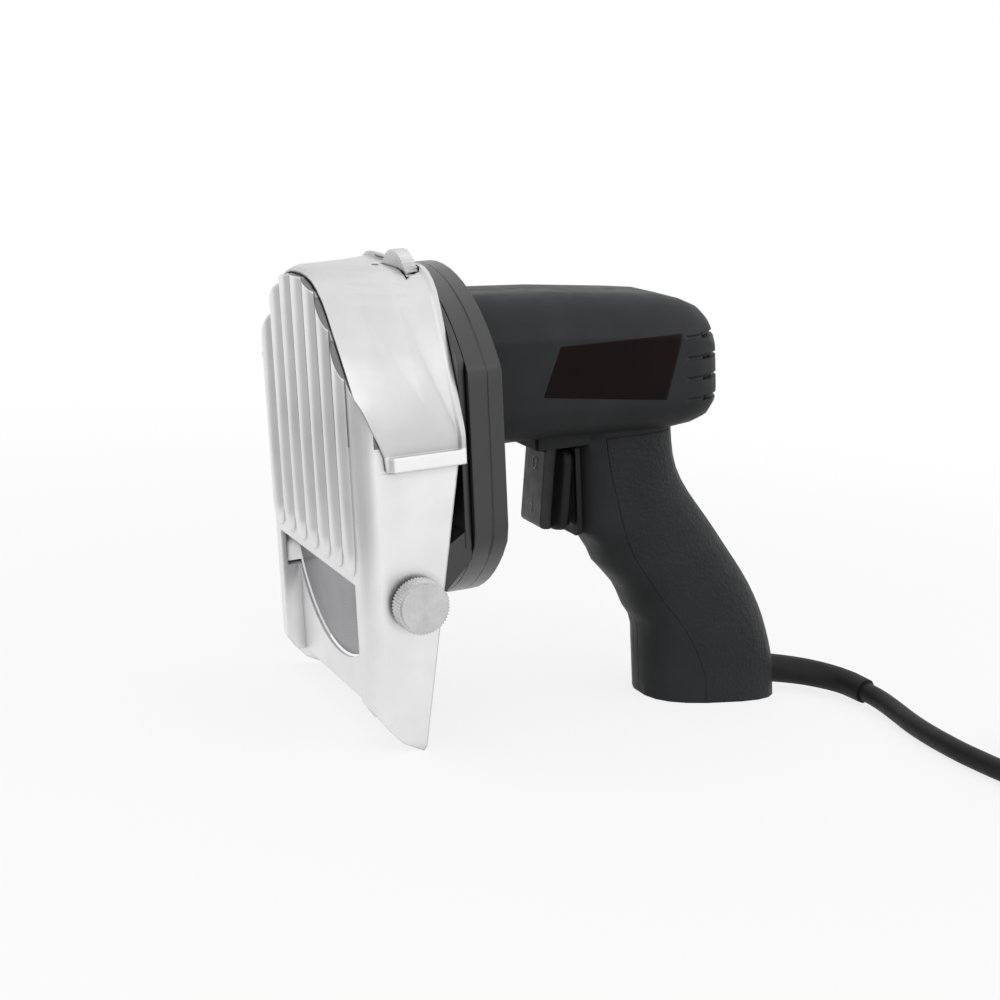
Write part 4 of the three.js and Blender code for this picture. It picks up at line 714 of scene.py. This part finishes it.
def cuff():
    """The rubber cuff that closes the gap behind the rocker: it rides on it and reaches into the boot."""
    corners = []
    for back, half_width, half_height in CUFF_ROWS:
        for angle in [a + math.pi / CUFF_SIDES for a in circle(CUFF_SIDES)]:
            across = squared(math.cos(angle)) * half_width
            up = squared(math.sin(angle)) * half_height
            corners.append(tool_point(*from_rocker(back, across, up)))
    faces = []
    for row in range(len(CUFF_ROWS) - 1):
        here, there = row * CUFF_SIDES, (row + 1) * CUFF_SIDES
        for step in range(CUFF_SIDES):
            after = (step + 1) % CUFF_SIDES
            faces.append((here + step, here + after, there + after, there + step))
    piece = new_piece("rocker_cuff", corners, faces, RUBBER, "rocker")
    thicken(piece, CUFF_THICKNESS, 0)
    smooth_faces(piece)


def cord_tie():
    """A flat band round the coil."""
    half = 2 * CORD_RADIUS + TIE_SLACK
    top = COIL_FLOOR_LEVEL + 5 * CORD_RADIUS + TIE_SLACK
    loop = [(-half, TIE_LIFT), (half, TIE_LIFT), (half, top), (-half, top)]
    outward = Vector((math.cos(TIE_ANGLE), math.sin(TIE_ANGLE), 0))
    along = Vector((-math.sin(TIE_ANGLE), math.cos(TIE_ANGLE), 0))
    corners = []
    for offset in (-TIE_WIDTH / 2, TIE_WIDTH / 2):
        for across, height in loop:
            middle = Vector((*COIL_CENTRE, height))
            corners.append((middle + outward * (COIL_RADIUS + across) + along * offset) * MM)
    sides = len(loop)
    faces = [(i, (i + 1) % sides, (i + 1) % sides + sides, i + sides) for i in range(sides)]
    piece = new_piece("cord_tie", corners, faces, RUBBER, "tool")
    thicken(piece, TIE_THICKNESS, -1)
    return piece


label_plate()
legends()
scale_marks()
cuff()
tie = cord_tie()


# Light
def lamp(name, place, size, power):
    """A square soft lamp that looks at the middle of the tool."""
    data = bpy.data.lights.new(name, "AREA")
    data.shape = "SQUARE"
    data.size = size
    data.energy = power
    made = bpy.data.objects.new(name, data)
    made.location = place
    made.rotation_euler = (Vector(MIDDLE) - Vector(place)).to_track_quat("-Z", "Y").to_euler()
    scene.collection.objects.link(made)


lamp("key", place=(-0.9, -1.7, 1.1), size=3.2, power=18)
lamp("fill", place=(1.8, -0.8, 0.9), size=2.2, power=9)
lamp("top", place=(0.1, 0.3, 1.9), size=2.2, power=4)


def seen_directly(tree):
    """1 for rays from the camera, off gloss and through glass, and 0 for other light."""
    path = tree.nodes.new("ShaderNodeLightPath")
    first = tree.nodes.new("ShaderNodeMath")
    first.operation = "MAXIMUM"
    both = tree.nodes.new("ShaderNodeMath")
    both.operation = "MAXIMUM"
    tree.links.new(path.outputs["Is Camera Ray"], first.inputs[0])
    tree.links.new(path.outputs["Is Glossy Ray"], first.inputs[1])
    tree.links.new(first.outputs[0], both.inputs[0])
    tree.links.new(path.outputs["Is Transmission Ray"], both.inputs[1])
    return both.outputs[0]


world = bpy.data.worlds.new("studio")
scene.world = world
world.use_nodes = True
background = world.node_tree.nodes["Background"]
background.inputs["Color"].default_value = (1, 1, 1, 1)
level = world.node_tree.nodes.new("ShaderNodeMapRange")
level.inputs["To Min"].default_value = AMBIENT
level.inputs["To Max"].default_value = 1
world.node_tree.links.new(seen_directly(world.node_tree), level.inputs["Value"])
world.node_tree.links.new(level.outputs["Result"], background.inputs["Strength"])


# Floor and card
def floor_paint():
    """Pale paint that fades to the white of the background away from the tool."""
    material = bpy.data.materials.new("studio_floor")
    material.use_nodes = True
    tree = material.node_tree
    paint = tree.nodes["Principled BSDF"]
    paint.inputs["Base Color"].default_value = FLOOR_PALE
    paint.inputs["Roughness"].default_value = 0.9
    glow = tree.nodes.new("ShaderNodeEmission")
    tree.links.new(seen_directly(tree), glow.inputs["Strength"])
    ground = tree.nodes.new("ShaderNodeTexCoord")
    reach = tree.nodes.new("ShaderNodeVectorMath")
    reach.operation = "LENGTH"
    tree.links.new(ground.outputs["Object"], reach.inputs[0])
    fade = tree.nodes.new("ShaderNodeMapRange")
    fade.interpolation_type = "SMOOTHSTEP"
    fade.inputs["From Min"].default_value = FADE_START
    fade.inputs["From Max"].default_value = FADE_END
    fade.inputs["To Min"].default_value = FADE_LEAST
    fade.inputs["To Max"].default_value = 1
    tree.links.new(reach.outputs["Value"], fade.inputs["Value"])
    mixed = tree.nodes.new("ShaderNodeMixShader")
    tree.links.new(fade.outputs["Result"], mixed.inputs[0])
    tree.links.new(paint.outputs[0], mixed.inputs[1])
    tree.links.new(glow.outputs[0], mixed.inputs[2])
    tree.links.new(mixed.outputs[0], tree.nodes["Material Output"].inputs["Surface"])
    return material


def card_grey():
    material = bpy.data.materials.new("flag_left")
    material.use_nodes = True
    tree = material.node_tree
    grey = tree.nodes.new("ShaderNodeEmission")
    grey.inputs["Strength"].default_value = CARD_GREY
    tree.links.new(grey.outputs[0], tree.nodes["Material Output"].inputs["Surface"])
    return material


def level_sheet(name, x, y, height, material):
    """A flat rectangle of the studio, between two values of x and of y."""
    mesh = bpy.data.meshes.new(name)
    corners = [(x[0], y[0], height), (x[1], y[0], height), (x[1], y[1], height), (x[0], y[1], height)]
    mesh.from_pydata(corners, [], [(0, 1, 2, 3)])
    sheet = bpy.data.objects.new(name, mesh)
    scene.collection.objects.link(sheet)
    wear(sheet, material)
    return sheet


level_sheet("floor", (-FLOOR_HALF, FLOOR_HALF), (-FLOOR_HALF, FLOOR_HALF), 0, floor_paint())

# The card is seen only in reflections
card = level_sheet("flag_left", CARD_X, CARD_Y, CARD_HEIGHT, card_grey())
card.visible_camera = False
card.visible_diffuse = False
card.visible_transmission = False
card.visible_volume_scatter = False
card.visible_shadow = False

scene.view_settings.view_transform = "Standard"
